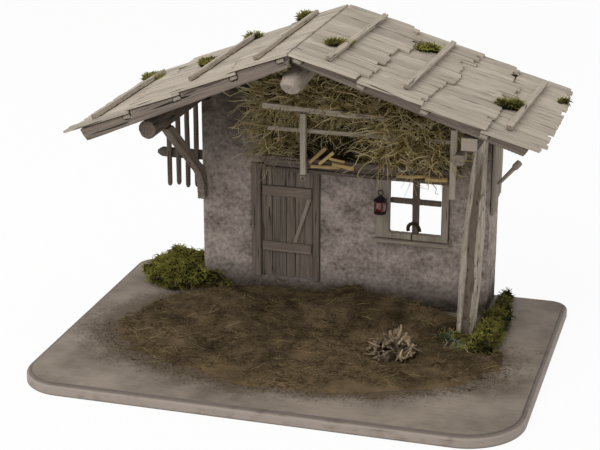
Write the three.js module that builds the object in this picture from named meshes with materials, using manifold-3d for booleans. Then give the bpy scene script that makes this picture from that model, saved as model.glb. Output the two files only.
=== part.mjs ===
// Nativity stable: a plastered house front with a porch roof, on a routed base board.
// Millimetres. X runs to the right, Y to the back and Z up, from under the base board's centre.

import * as THREE from 'three';
import { mergeVertices } from 'three/addons/utils/BufferGeometryUtils.js';
import Module from 'manifold-3d';

const wasm = await Module();
wasm.setup();

// Room left between two pieces that touch on the real stable
const gap = 0.3;

// Base board
const baseWidth = 480;
const baseDepth = 344;
const baseThickness = 12;
const baseFrontLeftRadius = 44;
const baseFrontRightRadius = 58;
const baseBackRadius = 18;
const baseEdgeRound = 3.6;
const baseEdgeStep = 1.3;
const baseFootBevel = 0.6;

// House: the front wall's face, the outer side faces and the heights above the base board
const wallFrontY = 105;
const houseLeftX = -143.6;
const houseRightX = 162;
const houseDepth = 55;
const wallThickness = 10;
const loftHeight = 148;
const loftFloorThickness = 5;
const loftLeftX = -65;
const loftRightX = 131;
const sideBoardThickness = 3;
const sideBoardHeight = 118;
const gableBoardThickness = 3;

// Roof: battens' top plane at the ridge, the two slopes and the gable ends
const ridgeHeight = 301.9;
const leftSlope = 23 * Math.PI / 180;
const rightSlope = 18.1 * Math.PI / 180;
const leftRun = 223;
const rightRun = 235;
const rightEaveTaper = 9;
const roofFrontY = -60;
const roofDepth = 221;
const boardThickness = 2.6;
const boardOverlap = 8;
const boardWidth = 17;
const raggedness = 5;
const lathWidth = 8;
const lathHeight = 4.2;
const lathLetIn = 1.5;
const leftRafterDepth = 8.5;
const rightRafterDepth = 6;
const rafterThickness = 8;
const leftRafterShort = 16;
const rightRafterShort = 14;
const topBattenWidth = 6;
const topBattenHeight = 5;

// Lower edges of the board courses and places of the top battens, as shares of each slope's run
const leftCourseEdges = [0.256, 0.507, 0.735, 1];
const rightCourseEdges = [0.306, 0.557, 0.79, 1];
const leftBattens = [
  { front: 0.138, back: 0.133, start: 9, end: 8 },
  { front: 0.45, back: 0.41, start: 26, end: 13 },
  { front: 0.875, back: 0.856, start: 12, end: 31 },
];
const rightBattens = [
  { front: 0.135, back: 0.16, start: 15, end: 7 },
  { front: 0.44, back: 0.465, start: 20, end: 11 },
  { front: 0.842, back: 0.871, start: 24, end: 19 },
];

// Ridge log, side purlins and what holds them at the front
const ridgeLogRadius = 12.5;
const leftPurlinX = houseLeftX + 0.6;
const leftPurlinRadius = 10;
const rightPurlinX = houseRightX + 5;
const rightPurlinWidth = 16;
const rightPurlinHeight = 13;
const purlinFrontSetback = 10;
const postX = 153;
const postLean = 10;
const postY = 44;
const postWidth = 22;
const braceThickness = 9;
const braceDepth = 10;
const braceRise = 106;
const braceReach = 114;

// Gallery in front of the hayloft
const galleryY = 70;
const galleryBeamThickness = 7;
const galleryBeamHeight = 11;
const balusterWidth = 6.5;
const balusterDepth = 6;
const leftBalusterX = -22;
const leftBalusterDrop = 5;
const rightBalusterX = 131;
const rightBalusterDrop = 17;
const rightBalusterHeight = 72;
const upperRailHeight = 62;
const upperRailLength = 127;
const upperRailFall = 4.5;
const lowerRailHeight = 38;
const railThickness = 6.5;
const lowerRailThickness = 4.7;

// Door
const doorLeftX = -79.1;
const doorWidth = 57;
const doorHeight = 121.2;
const doorSillHeight = 18;
const leftJambWidth = 10;
const rightJambWidth = 7;
const doorHeadHeight = 5;
const frameProud = 2;
const doorFrameDepth = 10;
const doorRecess = 4;
const doorThickness = 3;
const doorEdgeGap = 0.5;
const ledgeThickness = 2.4;
const ledgeHeight = 11;
const upperLedgeHeight = 90;
const lowerLedgeHeight = 28;
const ledgeEndInset = 1.4;
const doorBraceWidth = 4.5;
const hingeRodRadius = 0.9;

// Window
const windowLeftX = 60;
const windowWidth = 53.5;
const windowSillHeight = 76;
const windowHeight = 57.2;
const leftStileWidth = 15;
const rightStileWidth = 7.5;
const windowFootHeight = 6.8;
const windowHeadHeight = 3;
const windowFrameProud = 4;
const windowFrameDepth = 8;
const mullionWidth = 7.4;
const mullionShare = 0.5;
const transomHeight = 6.2;
const transomShare = 0.6;
const windowBarDepth = 4;
const sillHeight = 4;
const sillDepth = 6.5;
const sillOverhang = 2;

// Lantern on its nail
const lanternRadius = 7.5;
const lanternHeight = 20;
const lanternStandOff = 1.5;
const lanternNailHeight = 129;
const nailRadius = 0.8;
const lanternRingRadius = 2.6;
const lanternWireRadius = 0.6;

// Lattice on the left side and peg on the right side
const latticeReach = 53;
const latticeSlatWidth = 8;
const latticeSlatThickness = 5;
const latticeSlatFoot = 108;
const latticeRailHeight = 138;
const latticeRailWidth = 12;
const pegLength = 33;
const pegRadius = 2.6;
const pegTilt = 50 * Math.PI / 180;
const pegHeight = 138;
const pegY = 122;

// Ground cover
const earthEdge = 1.2;
const earthCentreY = -10;
const earthReachX = 205;
const earthReachY = 116;
const earthRamp = 150;
const mossLeftX = houseLeftX - 22.4;
const mossLeftY = 122;
const mossLeftReachX = 58;
const mossLeftReachY = 46;
const mossLeftHeight = 36;
const mossRightX = houseRightX + 16;
const mossRightY = 74;
const mossRightReachX = 17;
const mossRightReachY = 82;
const mossRightHeight = 24;
const heapX = 94;
const heapY = -20;
const heapRadius = 24;
const heapHeight = 33;
const moundX = 42;
const moundReach = 100;
const moundHeight = 12;
const wallBankHeight = 8;

// Heights and lines that follow from the driving dimensions
const baseTop = baseThickness;
const wallBackY = wallFrontY + wallThickness;
const houseBackY = wallFrontY + houseDepth;
const loftBottom = baseTop + loftHeight;
const loftTop = loftBottom + loftFloorThickness;
const ridgeZ = baseTop + ridgeHeight;
const roofBackY = roofFrontY + roofDepth;
const purlinFrontY = roofFrontY + purlinFrontSetback;
const purlinLength = roofBackY - purlinFrontY;
const galleryBackY = galleryY + galleryBeamThickness;
const interiorLeftX = houseLeftX + wallThickness;
const interiorRightX = houseRightX - wallThickness;

const left = { sign: -1, slope: leftSlope, run: leftRun, edges: leftCourseEdges };
left.rafterBottom = lathHeight - lathLetIn + leftRafterDepth;
left.rafterShort = leftRafterShort;
left.eaveTaper = 0;
const right = { sign: 1, slope: rightSlope, run: rightRun, edges: rightCourseEdges };
right.rafterBottom = lathHeight - lathLetIn + rightRafterDepth;
right.rafterShort = rightRafterShort;
right.eaveTaper = rightEaveTaper;

// Finishes
const finishes = {
  bareBoard: { color: 0x8f857b, roughness: 0.85 },
  weatheredWood: { color: 0xa79c8e, roughness: 0.9 },
  shadedWood: { color: 0x6d6359, roughness: 0.9 },
  freshWood: { color: 0xc7a468, roughness: 0.8 },
  plaster: { color: 0x8a8488, roughness: 0.95 },
  doorWood: { color: 0x7c7368, roughness: 0.9 },
  bark: { color: 0x75695c, roughness: 0.95 },
  earth: { color: 0x4a3a28, roughness: 1 },
  moss: { color: 0x5d6427, roughness: 1 },
  hay: { color: 0x8a7d4e, roughness: 1 },
  iron: { color: 0x2c2a29, roughness: 0.5, metalness: 0.8 },
};

const stable = new THREE.Group();

function piece(name, geometry, finish) {
  const material = new THREE.MeshStandardMaterial(finishes[finish]);
  const mesh = new THREE.Mesh(geometry, material);
  mesh.name = name;
  stable.add(mesh);
  return mesh;
}

// A steady spread of numbers from 0 to 1, the same on every run
function scatter(seed) {
  const value = Math.sin(seed * 12.9898) * 43758.5453;
  return value - Math.floor(value);
}

function wave(angle, seed) {
  return Math.sin(3 * angle + seed) * 0.5 + Math.sin(5 * angle + 2.3 * seed) * 0.3 + Math.sin(8 * angle + 4.1 * seed) * 0.2;
}

// Slabs cut from a flat outline and given a thickness
function extruded(points, thickness, holes = []) {
  const shape = new THREE.Shape(points.map(([u, v]) => new THREE.Vector2(u, v)));
  for (const hole of holes) {
    shape.holes.push(new THREE.Path(hole.map(([u, v]) => new THREE.Vector2(u, v))));
  }
  return new THREE.ExtrudeGeometry(shape, { depth: thickness, bevelEnabled: false });
}

function rectangle(u0, v0, u1, v1) {
  return [[u0, v0], [u1, v0], [u1, v1], [u0, v1]];
}

// Outline in X and Z, thickness towards the back
function frontSlab(points, frontY, thickness, holes = []) {
  const geometry = extruded(points, thickness, holes);
  geometry.rotateX(Math.PI / 2);
  geometry.translate(0, frontY + thickness, 0);
  return geometry;
}

// Outline in Y and Z, thickness towards the right
function sideSlab(points, leftX, thickness) {
  const geometry = extruded(points, thickness);
  const basis = new THREE.Matrix4().makeBasis(
    new THREE.Vector3(0, 1, 0),
    new THREE.Vector3(0, 0, 1),
    new THREE.Vector3(1, 0, 0),
  );
  geometry.applyMatrix4(basis);
  geometry.translate(leftX, 0, 0);
  return geometry;
}

// Outline in X and Y, thickness upwards
function planSlab(points, bottomZ, thickness) {
  const geometry = extruded(points, thickness);
  geometry.translate(0, 0, bottomZ);
  return geometry;
}

function block(x0, y0, z0, x1, y1, z1) {
  const geometry = new THREE.BoxGeometry(x1 - x0, y1 - y0, z1 - z0);
  geometry.translate((x0 + x1) / 2, (y0 + y1) / 2, (z0 + z1) / 2);
  return geometry;
}

// A closed skin over rings that all have the same number of points, counter-clockwise from above
function lofted(rings) {
  const positions = rings.flat(2);
  const count = rings[0].length;
  const indices = [];
  for (let ring = 0; ring < rings.length - 1; ring += 1) {
    for (let index = 0; index < count; index += 1) {
      const next = (index + 1) % count;
      const lower = ring * count;
      const upper = lower + count;
      indices.push(lower + index, lower + next, upper + next);
      indices.push(lower + index, upper + next, upper + index);
    }
  }
  const top = (rings.length - 1) * count;
  for (const [a, b, c] of capTriangles(rings[rings.length - 1])) {
    indices.push(top + a, top + b, top + c);
  }
  for (const [a, b, c] of capTriangles(rings[0])) {
    indices.push(a, c, b);
  }
  const geometry = new THREE.BufferGeometry();
  geometry.setAttribute('position', new THREE.Float32BufferAttribute(positions, 3));
  geometry.setIndex(indices);
  return geometry;
}

function capTriangles(ring) {
  return THREE.ShapeUtils.triangulateShape(ring.map(([x, y]) => new THREE.Vector2(x, y)), []);
}

// Joining and cutting of closed solids
function toSolid(geometry) {
  const bare = geometry.clone();
  bare.deleteAttribute('normal');
  bare.deleteAttribute('uv');
  const merged = mergeVertices(bare, 1e-4);
  return new wasm.Manifold(new wasm.Mesh({
    numProp: 3,
    vertProperties: new Float32Array(merged.attributes.position.array),
    triVerts: new Uint32Array(merged.index.array),
  }));
}

function toGeometry(solid) {
  const mesh = solid.getMesh();
  const geometry = new THREE.BufferGeometry();
  geometry.setAttribute('position', new THREE.BufferAttribute(new Float32Array(mesh.vertProperties), 3));
  geometry.setIndex(new THREE.BufferAttribute(new Uint32Array(mesh.triVerts), 1));
  return geometry;
}

function joined(...geometries) {
  return toGeometry(geometries.map(toSolid).reduce((sum, next) => sum.add(next)));
}

function cut(geometry, ...cutters) {
  return toGeometry(cutters.map(toSolid).reduce((rest, next) => rest.subtract(next), toSolid(geometry)));
}

// Places on a slope: the distance down from the ridge, and the height square to the slope
function slopeX(side, down, raise) {
  return side.sign * (down * Math.cos(side.slope) + raise * Math.sin(side.slope));
}

function slopeZ(side, down, raise) {
  return ridgeZ - down * Math.sin(side.slope) + raise * Math.cos(side.slope);
}

function slopePoint(side, down, raise) {
  return [slopeX(side, down, raise), slopeZ(side, down, raise)];
}

function slopeLength(side) {
  return side.run / Math.cos(side.slope);
}

// Height of a plane under the slope at a given X, its depth measured square to the slope
function underSlope(side, x, depth) {
  return ridgeZ - Math.abs(x) * Math.tan(side.slope) - depth / Math.cos(side.slope);
}

// Base board with a routed edge
function roundedOutline(inset, z) {
  const halfWidth = baseWidth / 2 - inset;
  const halfDepth = baseDepth / 2 - inset;
  const corners = [
    { x: halfWidth, y: -halfDepth, radius: baseFrontRightRadius - inset, start: -Math.PI / 2 },
    { x: halfWidth, y: halfDepth, radius: baseBackRadius - inset, start: 0 },
    { x: -halfWidth, y: halfDepth, radius: baseBackRadius - inset, start: Math.PI / 2 },
    { x: -halfWidth, y: -halfDepth, radius: baseFrontLeftRadius - inset, start: Math.PI },
  ];
  const steps = 10;
  const ring = [];
  for (const corner of corners) {
    const centreX = corner.x - Math.sign(corner.x) * corner.radius;
    const centreY = corner.y - Math.sign(corner.y) * corner.radius;
    for (let step = 0; step <= steps; step += 1) {
      const angle = corner.start + (step / steps) * Math.PI / 2;
      ring.push([centreX + corner.radius * Math.cos(angle), centreY + corner.radius * Math.sin(angle), z]);
    }
  }
  return ring;
}

function makeBaseBoard() {
  const roundTop = baseThickness - baseEdgeStep;
  const rings = [
    roundedOutline(baseFootBevel, 0),
    roundedOutline(0, baseFootBevel),
  ];
  const steps = 4;
  for (let step = 0; step <= steps; step += 1) {
    const angle = (step / steps) * Math.PI / 2;
    const inset = baseEdgeRound * (1 - Math.cos(angle));
    rings.push(roundedOutline(inset, roundTop - baseEdgeRound * (1 - Math.sin(angle))));
  }
  const lip = baseEdgeRound + baseEdgeStep;
  rings.push(roundedOutline(lip, roundTop));
  rings.push(roundedOutline(lip + gap, baseTop));
  piece('base_board', lofted(rings), 'bareBoard');
}

// A lumpy bank with a flat underside, wider than deep or the other way round
function bank(centreX, centreY, reachX, reachY, bottomZ, height, seed, grow = 0) {
  const around = 28;
  const levels = [[1, 0], [0.97, 0.28], [0.82, 0.62], [0.55, 0.88], [0.22, 1]];
  return lofted(levels.map(([share, rise]) => {
    const ring = [];
    for (let index = 0; index < around; index += 1) {
      const angle = (index / around) * Math.PI * 2;
      const uneven = 1 + 0.16 * wave(angle, seed);
      const lump = rise > 0 ? 1 + 0.22 * wave(angle + share * 3, seed + 1) * share : 1;
      ring.push([
        centreX + (reachX * uneven * share + grow) * Math.cos(angle),
        centreY + (reachY * uneven * share + grow) * Math.sin(angle),
        bottomZ + rise * (height * lump + grow) + (rise > 0 ? 0 : -grow),
      ]);
    }
    return ring;
  }));
}

function mossLeft(grow) {
  return bank(mossLeftX, mossLeftY, mossLeftReachX, mossLeftReachY, baseTop, mossLeftHeight, 1.3, grow);
}

function mossRight(grow) {
  return bank(mossRightX, mossRightY, mossRightReachX, mossRightReachY, baseTop, mossRightHeight, 2.9, grow);
}

function brushHeap(grow) {
  return bank(heapX, heapY, heapRadius, heapRadius, baseTop + earthEdge + gap, heapHeight, 5.2, grow);
}

// Footprint of the walls, a little grown, as a cutter for what lies against them
function houseCutter() {
  const tall = ridgeHeight;
  return block(
    houseLeftX - gap, wallFrontY - gap, -1,
    houseRightX + sideBoardThickness + 2 * gap, houseBackY + gap, tall,
  );
}

// Height of the earth over the base board: thin in front, banked up against the wall
function earthHeight(x, y) {
  const nearWall = THREE.MathUtils.smoothstep(y, wallFrontY - earthRamp, wallFrontY);
  const doorRightX = doorLeftX + doorWidth + rightJambWidth;
  const pastDoor = THREE.MathUtils.smoothstep(x, doorRightX + 3, moundX);
  const crest = pastDoor * (1 - THREE.MathUtils.smoothstep(x, moundX, moundX + moundReach));
  const atWall = THREE.MathUtils.smoothstep(y, wallFrontY - earthRamp / 2, wallFrontY);
  const mound = (wallBankHeight * pastDoor + moundHeight * crest) * atWall;
  const swell = 0.9 * Math.sin(x / 19 + 1.1) * Math.sin(y / 23);
  const rise = (doorSillHeight - earthEdge - 3.2) * nearWall;
  return earthEdge + 1.2 + rise + mound + swell;
}

function makeEarth() {
  const around = 72;
  const shares = [0.25, 0.5, 0.72, 0.88, 1];
  const limitY = wallFrontY - gap;
  const reachAt = (angle) => {
    const uneven = 1 + 0.07 * wave(angle, 0.7);
    const dx = Math.cos(angle) / earthReachX;
    const dy = Math.sin(angle) / earthReachY;
    const free = uneven / Math.hypot(dx, dy);
    const toWall = Math.sin(angle) > 0 ? (limitY - earthCentreY) / Math.sin(angle) : Infinity;
    return Math.min(free, toWall);
  };
  const ringAt = (share, height) => {
    const ring = [];
    for (let index = 0; index < around; index += 1) {
      const angle = (index / around) * Math.PI * 2;
      const reach = reachAt(angle) * share;
      const x = reach * Math.cos(angle);
      const y = earthCentreY + reach * Math.sin(angle);
      ring.push([x, y, baseTop + height(x, y)]);
    }
    return ring;
  };
  const rings = [ringAt(1, () => 0)];
  const edge = (x, y) => (y > limitY - 1 ? earthHeight(x, y) : earthEdge);
  rings.push(ringAt(1, edge));
  for (const share of shares.slice(0, -1).reverse()) {
    rings.push(ringAt(share, earthHeight));
  }
  const earth = cut(lofted(rings), postSolid(gap), mossLeft(gap), mossRight(gap), brushHeap(gap));
  piece('earth_layer', largestBody(earth), 'earth');
}

// Of a cut solid's separate bodies, the largest
function largestBody(geometry) {
  const bodies = toSolid(geometry).decompose();
  bodies.sort((one, other) => other.volume() - one.volume());
  return toGeometry(bodies[0]);
}

function makeMossAndBrush() {
  const leftBank = cut(mossLeft(0), houseCutter());
  const rightBank = cut(mossRight(0), houseCutter(), postSolid(gap));
  piece('moss_bank_left', largestBody(leftBank), 'moss');
  piece('moss_bank_right', largestBody(rightBank), 'moss');
  piece('brushwood_heap', brushHeap(0), 'bark');
}

// Purlins, their places set by the rafters that lie on them
const underLeftRafters = (left.rafterBottom + ridgeLogRadius + gap) / Math.cos(leftSlope);
const underRightRafters = (right.rafterBottom + ridgeLogRadius + gap) / Math.cos(rightSlope);
const ridgeLogZ = ridgeZ - Math.max(underLeftRafters, underRightRafters);
const leftPurlinZ = underSlope(left, leftPurlinX, left.rafterBottom + leftPurlinRadius + gap);
const leftPurlinBottom = leftPurlinZ - leftPurlinRadius;
const rightPurlinEndX = rightPurlinX + rightPurlinWidth / 2;
const rightPurlinTop = underSlope(right, rightPurlinEndX, right.rafterBottom) - gap;
const rightPurlinBottom = rightPurlinTop - rightPurlinHeight;

// A round log along Y, its section uneven inside the given radius and its front end cut askew
function logAlongY(x, z, radius, frontY, length, askew, seed) {
  const around = 14;
  const stations = [0, 0.12, 0.4, 0.7, 1];
  const rings = stations.map((share) => {
    const ring = [];
    for (let index = 0; index < around; index += 1) {
      const angle = (index / around) * Math.PI * 2;
      const own = radius * (0.965 + 0.03 * wave(angle + share, seed));
      const skew = share === 0 ? askew * Math.cos(angle) : 0;
      ring.push([x - own * Math.cos(angle), frontY + length * share + skew, z + own * Math.sin(angle)]);
    }
    return ring;
  });
  return closedAlongY(rings);
}

// The same closed skin, for rings that stand upright and face along Y
function closedAlongY(rings) {
  const lying = rings.map((ring) => ring.map(([x, y, z]) => [-x, z, y]));
  const geometry = lofted(lying);
  const stand = new THREE.Matrix4().makeBasis(
    new THREE.Vector3(-1, 0, 0),
    new THREE.Vector3(0, 0, 1),
    new THREE.Vector3(0, 1, 0),
  );
  geometry.applyMatrix4(stand);
  return geometry;
}

function makePurlins() {
  const ridgeLog = logAlongY(0, ridgeLogZ, ridgeLogRadius, purlinFrontY, purlinLength, 6, 1.7);
  const leftLog = logAlongY(leftPurlinX, leftPurlinZ, leftPurlinRadius, purlinFrontY, purlinLength, 2, 0.4);
  piece('ridge_log', ridgeLog, 'weatheredWood');
  piece('purlin_left', leftLog, 'shadedWood');
  const rightBeam = block(
    rightPurlinX - rightPurlinWidth / 2, purlinFrontY, rightPurlinBottom,
    rightPurlinEndX, purlinFrontY + purlinLength, rightPurlinTop,
  );
  piece('purlin_right', rightBeam, 'weatheredWood');
}

// Front edge of each board course's upper end, down from the ridge
function courseStarts(side) {
  const starts = [gap];
  for (const edge of side.edges.slice(0, -1)) {
    starts.push(slopeLength(side) * edge - boardOverlap);
  }
  return starts;
}

function courseTilt(side, index) {
  const starts = courseStarts(side);
  const end = index + 1 < starts.length ? starts[index + 1] : slopeLength(side);
  return (boardThickness + 1.6 * gap) / (end - starts[index]);
}

// Height of a course's upper face over the laths
function courseTop(side, down) {
  const starts = courseStarts(side);
  const ends = side.edges.map((edge) => slopeLength(side) * edge + raggedness);
  const index = ends.findIndex((end) => down <= end);
  return gap + boardThickness + courseTilt(side, index) * (down - starts[index]);
}

// One course of boards: split side by side, their lower ends ragged
function boardCourse(side, index) {
  const starts = courseStarts(side);
  const start = starts[index];
  const end = slopeLength(side) * side.edges[index];
  const last = index === side.edges.length - 1;
  const count = Math.round(roofDepth / boardWidth);
  const seed = (side.sign + 2) * 31 + index * 7;
  const sideStep = (scatter(seed + 3) - 0.5) * 2;
  const points = [[start, roofBackY + sideStep], [start, roofFrontY + sideStep]];
  for (let board = 0; board < count; board += 1) {
    const y0 = roofFrontY + sideStep + (board * roofDepth) / count;
    const y1 = roofFrontY + sideStep + ((board + 1) * roofDepth) / count;
    const jag = (scatter(seed + board * 1.7) - (last ? 1 : 0.5)) * raggedness;
    const skew = (scatter(seed + board * 2.9) - 0.5) * 1.6;
    const limit = last ? end - side.eaveTaper * (1 - board / count) : end + raggedness;
    const boardEnd = last ? limit + jag : end + jag;
    points.push([Math.min(boardEnd - skew, limit), y0]);
    points.push([Math.min(boardEnd + skew, limit), y1]);
  }
  return tiltedSheet(side, points, start, gap, courseTilt(side, index), boardThickness);
}

// A thin sheet on a slope, lifted towards its lower end by the tilt
function tiltedSheet(side, points, start, raise, tilt, thickness) {
  const geometry = extruded(points.map(([down, y]) => [down - start, y]), thickness);
  const positions = geometry.attributes.position;
  for (let index = 0; index < positions.count; index += 1) {
    const down = start + positions.getX(index);
    const y = positions.getY(index);
    const height = raise + tilt * positions.getX(index) + positions.getZ(index);
    positions.setXYZ(index, slopeX(side, down, height), y, slopeZ(side, down, height));
  }
  return side.sign < 0 ? turnedInsideOut(geometry) : geometry;
}

// A mirrored shape has its faces turned round again
function turnedInsideOut(geometry) {
  const positions = geometry.attributes.position;
  for (let index = 0; index < positions.count; index += 3) {
    const one = new THREE.Vector3().fromBufferAttribute(positions, index + 1);
    const other = new THREE.Vector3().fromBufferAttribute(positions, index + 2);
    positions.setXYZ(index + 1, other.x, other.y, other.z);
    positions.setXYZ(index + 2, one.x, one.y, one.z);
  }
  return geometry;
}

function lathPlaces(side) {
  return courseStarts(side).map((start, index) => start + lathWidth / 2 + (index === 0 ? 5 : 0));
}

// A rafter board up to the roof boards, with notches that the laths are let into
function rafter(side, ridgeEndX, frontY) {
  const top = -gap;
  const bottom = -side.rafterBottom;
  const end = slopeLength(side) - side.rafterShort;
  const outline = [];
  outline.push([ridgeEndX, underSlope(side, ridgeEndX, -bottom)]);
  outline.push([ridgeEndX, underSlope(side, ridgeEndX, -top)]);
  for (const down of lathPlaces(side)) {
    const half = lathWidth / 2 + gap;
    outline.push(slopePoint(side, down - half, top));
    outline.push(slopePoint(side, down - half, -lathHeight - gap));
    outline.push(slopePoint(side, down + half, -lathHeight - gap));
    outline.push(slopePoint(side, down + half, top));
  }
  outline.push(slopePoint(side, end, top));
  outline.push(slopePoint(side, end - 3, bottom));
  return frontSlab(outline, frontY, rafterThickness);
}

function makeRoof() {
  const frontY = roofFrontY + 1;
  const rearY = roofBackY - rafterThickness;
  piece('rafter_front_left', rafter(left, -gap / 2, frontY), 'weatheredWood');
  piece('rafter_front_right', rafter(right, gap / 2, frontY + rafterThickness + gap), 'weatheredWood');
  piece('rafter_rear_left', rafter(left, -gap / 2, rearY), 'shadedWood');
  piece('rafter_rear_right', rafter(right, gap / 2, rearY), 'shadedWood');
  for (const [name, side, battens] of [['left', left, leftBattens], ['right', right, rightBattens]]) {
    lathPlaces(side).forEach((down, index) => {
      const corners = [
        slopePoint(side, down - lathWidth / 2, -lathHeight),
        slopePoint(side, down + lathWidth / 2, -lathHeight),
        slopePoint(side, down + lathWidth / 2, 0),
        slopePoint(side, down - lathWidth / 2, 0),
      ];
      piece(`lath_${name}_${index + 1}`, frontSlab(corners, roofFrontY + 0.5, roofDepth - 1), 'shadedWood');
    });
    side.edges.forEach((edge, index) => {
      piece(`board_course_${name}_${index + 1}`, boardCourse(side, index), 'weatheredWood');
    });
    battens.forEach((batten, index) => {
      piece(`top_batten_${name}_${index + 1}`, topBatten(side, batten), 'weatheredWood');
    });
  }
}

// A stick that lies on the boards and holds them down, a little askew to the ridge
function topBatten(side, batten) {
  const length = slopeLength(side);
  const half = topBattenWidth / 2;
  const lowest = Math.max(batten.front, batten.back) * length + half;
  const frontY = roofFrontY + batten.start;
  const backY = roofBackY - batten.end;
  const points = [
    [batten.front * length - half, frontY],
    [batten.front * length + half, frontY],
    [batten.back * length + half, backY],
    [batten.back * length - half, backY],
  ];
  const raise = courseTop(side, lowest) + gap;
  return tiltedSheet(side, points, 0, raise, 0, topBattenHeight);
}

// Porch post: a weathered split trunk that leans out to the purlin it carries
function postSolid(grow) {
  const top = rightPurlinBottom - gap;
  const stations = [
    { share: 0, width: 0.9 },
    { share: 0.22, width: 1 },
    { share: 0.5, width: 1.06 },
    { share: 0.7, width: 0.8 },
    { share: 1, width: 0.62 },
  ];
  const around = 12;
  return lofted(stations.map(({ share, width }) => {
    const ring = [];
    for (let index = 0; index < around; index += 1) {
      const angle = (index / around) * Math.PI * 2;
      const own = (postWidth / 2) * width * (1 + 0.09 * wave(angle + share * 0.8, 3.1)) + grow;
      ring.push([
        postX + postLean * share + own * Math.cos(angle),
        postY + own * Math.sin(angle),
        THREE.MathUtils.lerp(baseTop, top, share) + (share === 0 ? -grow : 0),
      ]);
    }
    return ring;
  }));
}

// Left knee brace: a naturally curved branch from the wall out to the purlin
function kneeBrace() {
  const footY = wallFrontY - gap;
  const headZ = leftPurlinBottom - gap;
  const footZ = headZ - braceRise;
  const headY = footY - braceReach;
  const bendY = footY - braceDepth * 1.9;
  const bendZ = footZ + braceRise * 0.36;
  const length = Math.hypot(bendY - headY, headZ - bendZ);
  const halfY = (braceDepth / 2) * ((headZ - bendZ) / length);
  const halfZ = (braceDepth / 2) * ((bendY - headY) / length);
  const headCut = (braceDepth * length) / (headZ - bendZ);
  const curve = new THREE.Shape();
  curve.moveTo(footY, footZ);
  curve.lineTo(footY, footZ + braceDepth * 1.4);
  curve.quadraticCurveTo(footY, bendZ - halfZ, bendY + halfY, bendZ + halfZ);
  curve.lineTo(headY + headCut, headZ);
  curve.lineTo(headY, headZ);
  curve.lineTo(bendY - halfY, bendZ - halfZ);
  curve.quadraticCurveTo(footY - braceDepth, footZ + braceDepth * 2, footY - braceDepth, footZ);
  curve.closePath();
  const points = curve.getPoints(7).map((point) => [point.x, point.y]);
  return sideSlab(points.slice(0, -1), leftPurlinX + 1 - braceThickness / 2, braceThickness);
}

function makeSupports() {
  piece('porch_post', postSolid(0), 'weatheredWood');
  piece('knee_brace', kneeBrace(), 'shadedWood');
}

// Walls
function makeWalls() {
  const leftTop = leftPurlinBottom - gap;
  const rightTop = rightPurlinBottom - gap;
  const underLath = lathHeight + gap;
  const leftStepX = leftPurlinX + leftPurlinRadius + gap;
  const rightStepX = rightPurlinX - rightPurlinWidth / 2 - gap;
  const outline = [
    [houseLeftX, baseTop],
    [houseRightX, baseTop],
    [houseRightX, rightTop],
    [rightStepX, rightTop],
    [rightStepX, underSlope(right, rightStepX, underLath)],
    [loftRightX, underSlope(right, loftRightX, underLath)],
    [loftRightX, loftBottom],
    [loftLeftX, loftBottom],
    [loftLeftX, underSlope(left, loftLeftX, underLath)],
    [leftStepX, underSlope(left, leftStepX, underLath)],
    [leftStepX, leftTop],
    [houseLeftX, leftTop],
  ];
  const doorHole = rectangle(
    doorLeftX - leftJambWidth - gap, baseTop + doorSillHeight,
    doorLeftX + doorWidth + rightJambWidth + gap, doorHeadTop + gap,
  );
  const windowHole = rectangle(
    windowLeftX - leftStileWidth - gap, windowFootZ - gap,
    windowLeftX + windowWidth + rightStileWidth + gap, windowTopZ + gap,
  );
  piece('wall_front', frontSlab(outline, wallFrontY, wallThickness, [doorHole, windowHole]), 'plaster');
  const sideFrontY = wallBackY + gap;
  piece('wall_left', block(houseLeftX, sideFrontY, baseTop, interiorLeftX, houseBackY, leftTop), 'plaster');
  piece('wall_right', block(interiorRightX, sideFrontY, baseTop, houseRightX, houseBackY, rightTop), 'plaster');
  piece('side_boards_right', sideBoards(rightTop), 'weatheredWood');
  piece('rear_gable_boards', rearGable(), 'shadedWood');
}

// Upright boards over the upper part of the right wall, their lower ends uneven
function sideBoards(top) {
  const bottom = top - sideBoardHeight;
  const count = 4;
  const width = (houseDepth - 1) / count;
  const points = [[houseBackY, top], [wallFrontY + 1, top]];
  for (let board = 0; board < count; board += 1) {
    const end = bottom + (scatter(board * 3.3 + 2) - 0.3) * 7;
    points.push([wallFrontY + 1 + board * width, end]);
    points.push([wallFrontY + 1 + (board + 1) * width, end + 1]);
  }
  return sideSlab(points, houseRightX + gap, sideBoardThickness);
}

function rearGable() {
  const leftDepth = left.rafterBottom + gap;
  const rightDepth = right.rafterBottom + gap;
  const leftX = Math.max(interiorLeftX + gap, leftPurlinX + leftPurlinRadius + gap);
  const rightX = Math.min(interiorRightX - gap, rightPurlinX - rightPurlinWidth / 2 - gap);
  const notch = ridgeLogRadius + gap;
  const outline = [
    [leftX, loftTop + gap],
    [rightX, loftTop + gap],
    [rightX, underSlope(right, rightX, rightDepth)],
    [notch, underSlope(right, notch, rightDepth)],
    [notch, ridgeLogZ - notch],
    [-notch, ridgeLogZ - notch],
    [-notch, underSlope(left, notch, leftDepth)],
    [leftX, underSlope(left, leftX, leftDepth)],
  ];
  return frontSlab(outline, houseBackY - gableBoardThickness, gableBoardThickness);
}

// Hayloft floor, gallery and hay
const railFrontY = galleryY - gap - balusterDepth;
const upperRailZ = loftTop + upperRailHeight;
const lowerRailZ = loftTop + lowerRailHeight;

// The upper rail's underside, which falls a little towards the right
function upperRailAt(x) {
  return upperRailZ - (upperRailFall * (x - loftLeftX)) / upperRailLength;
}

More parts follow.
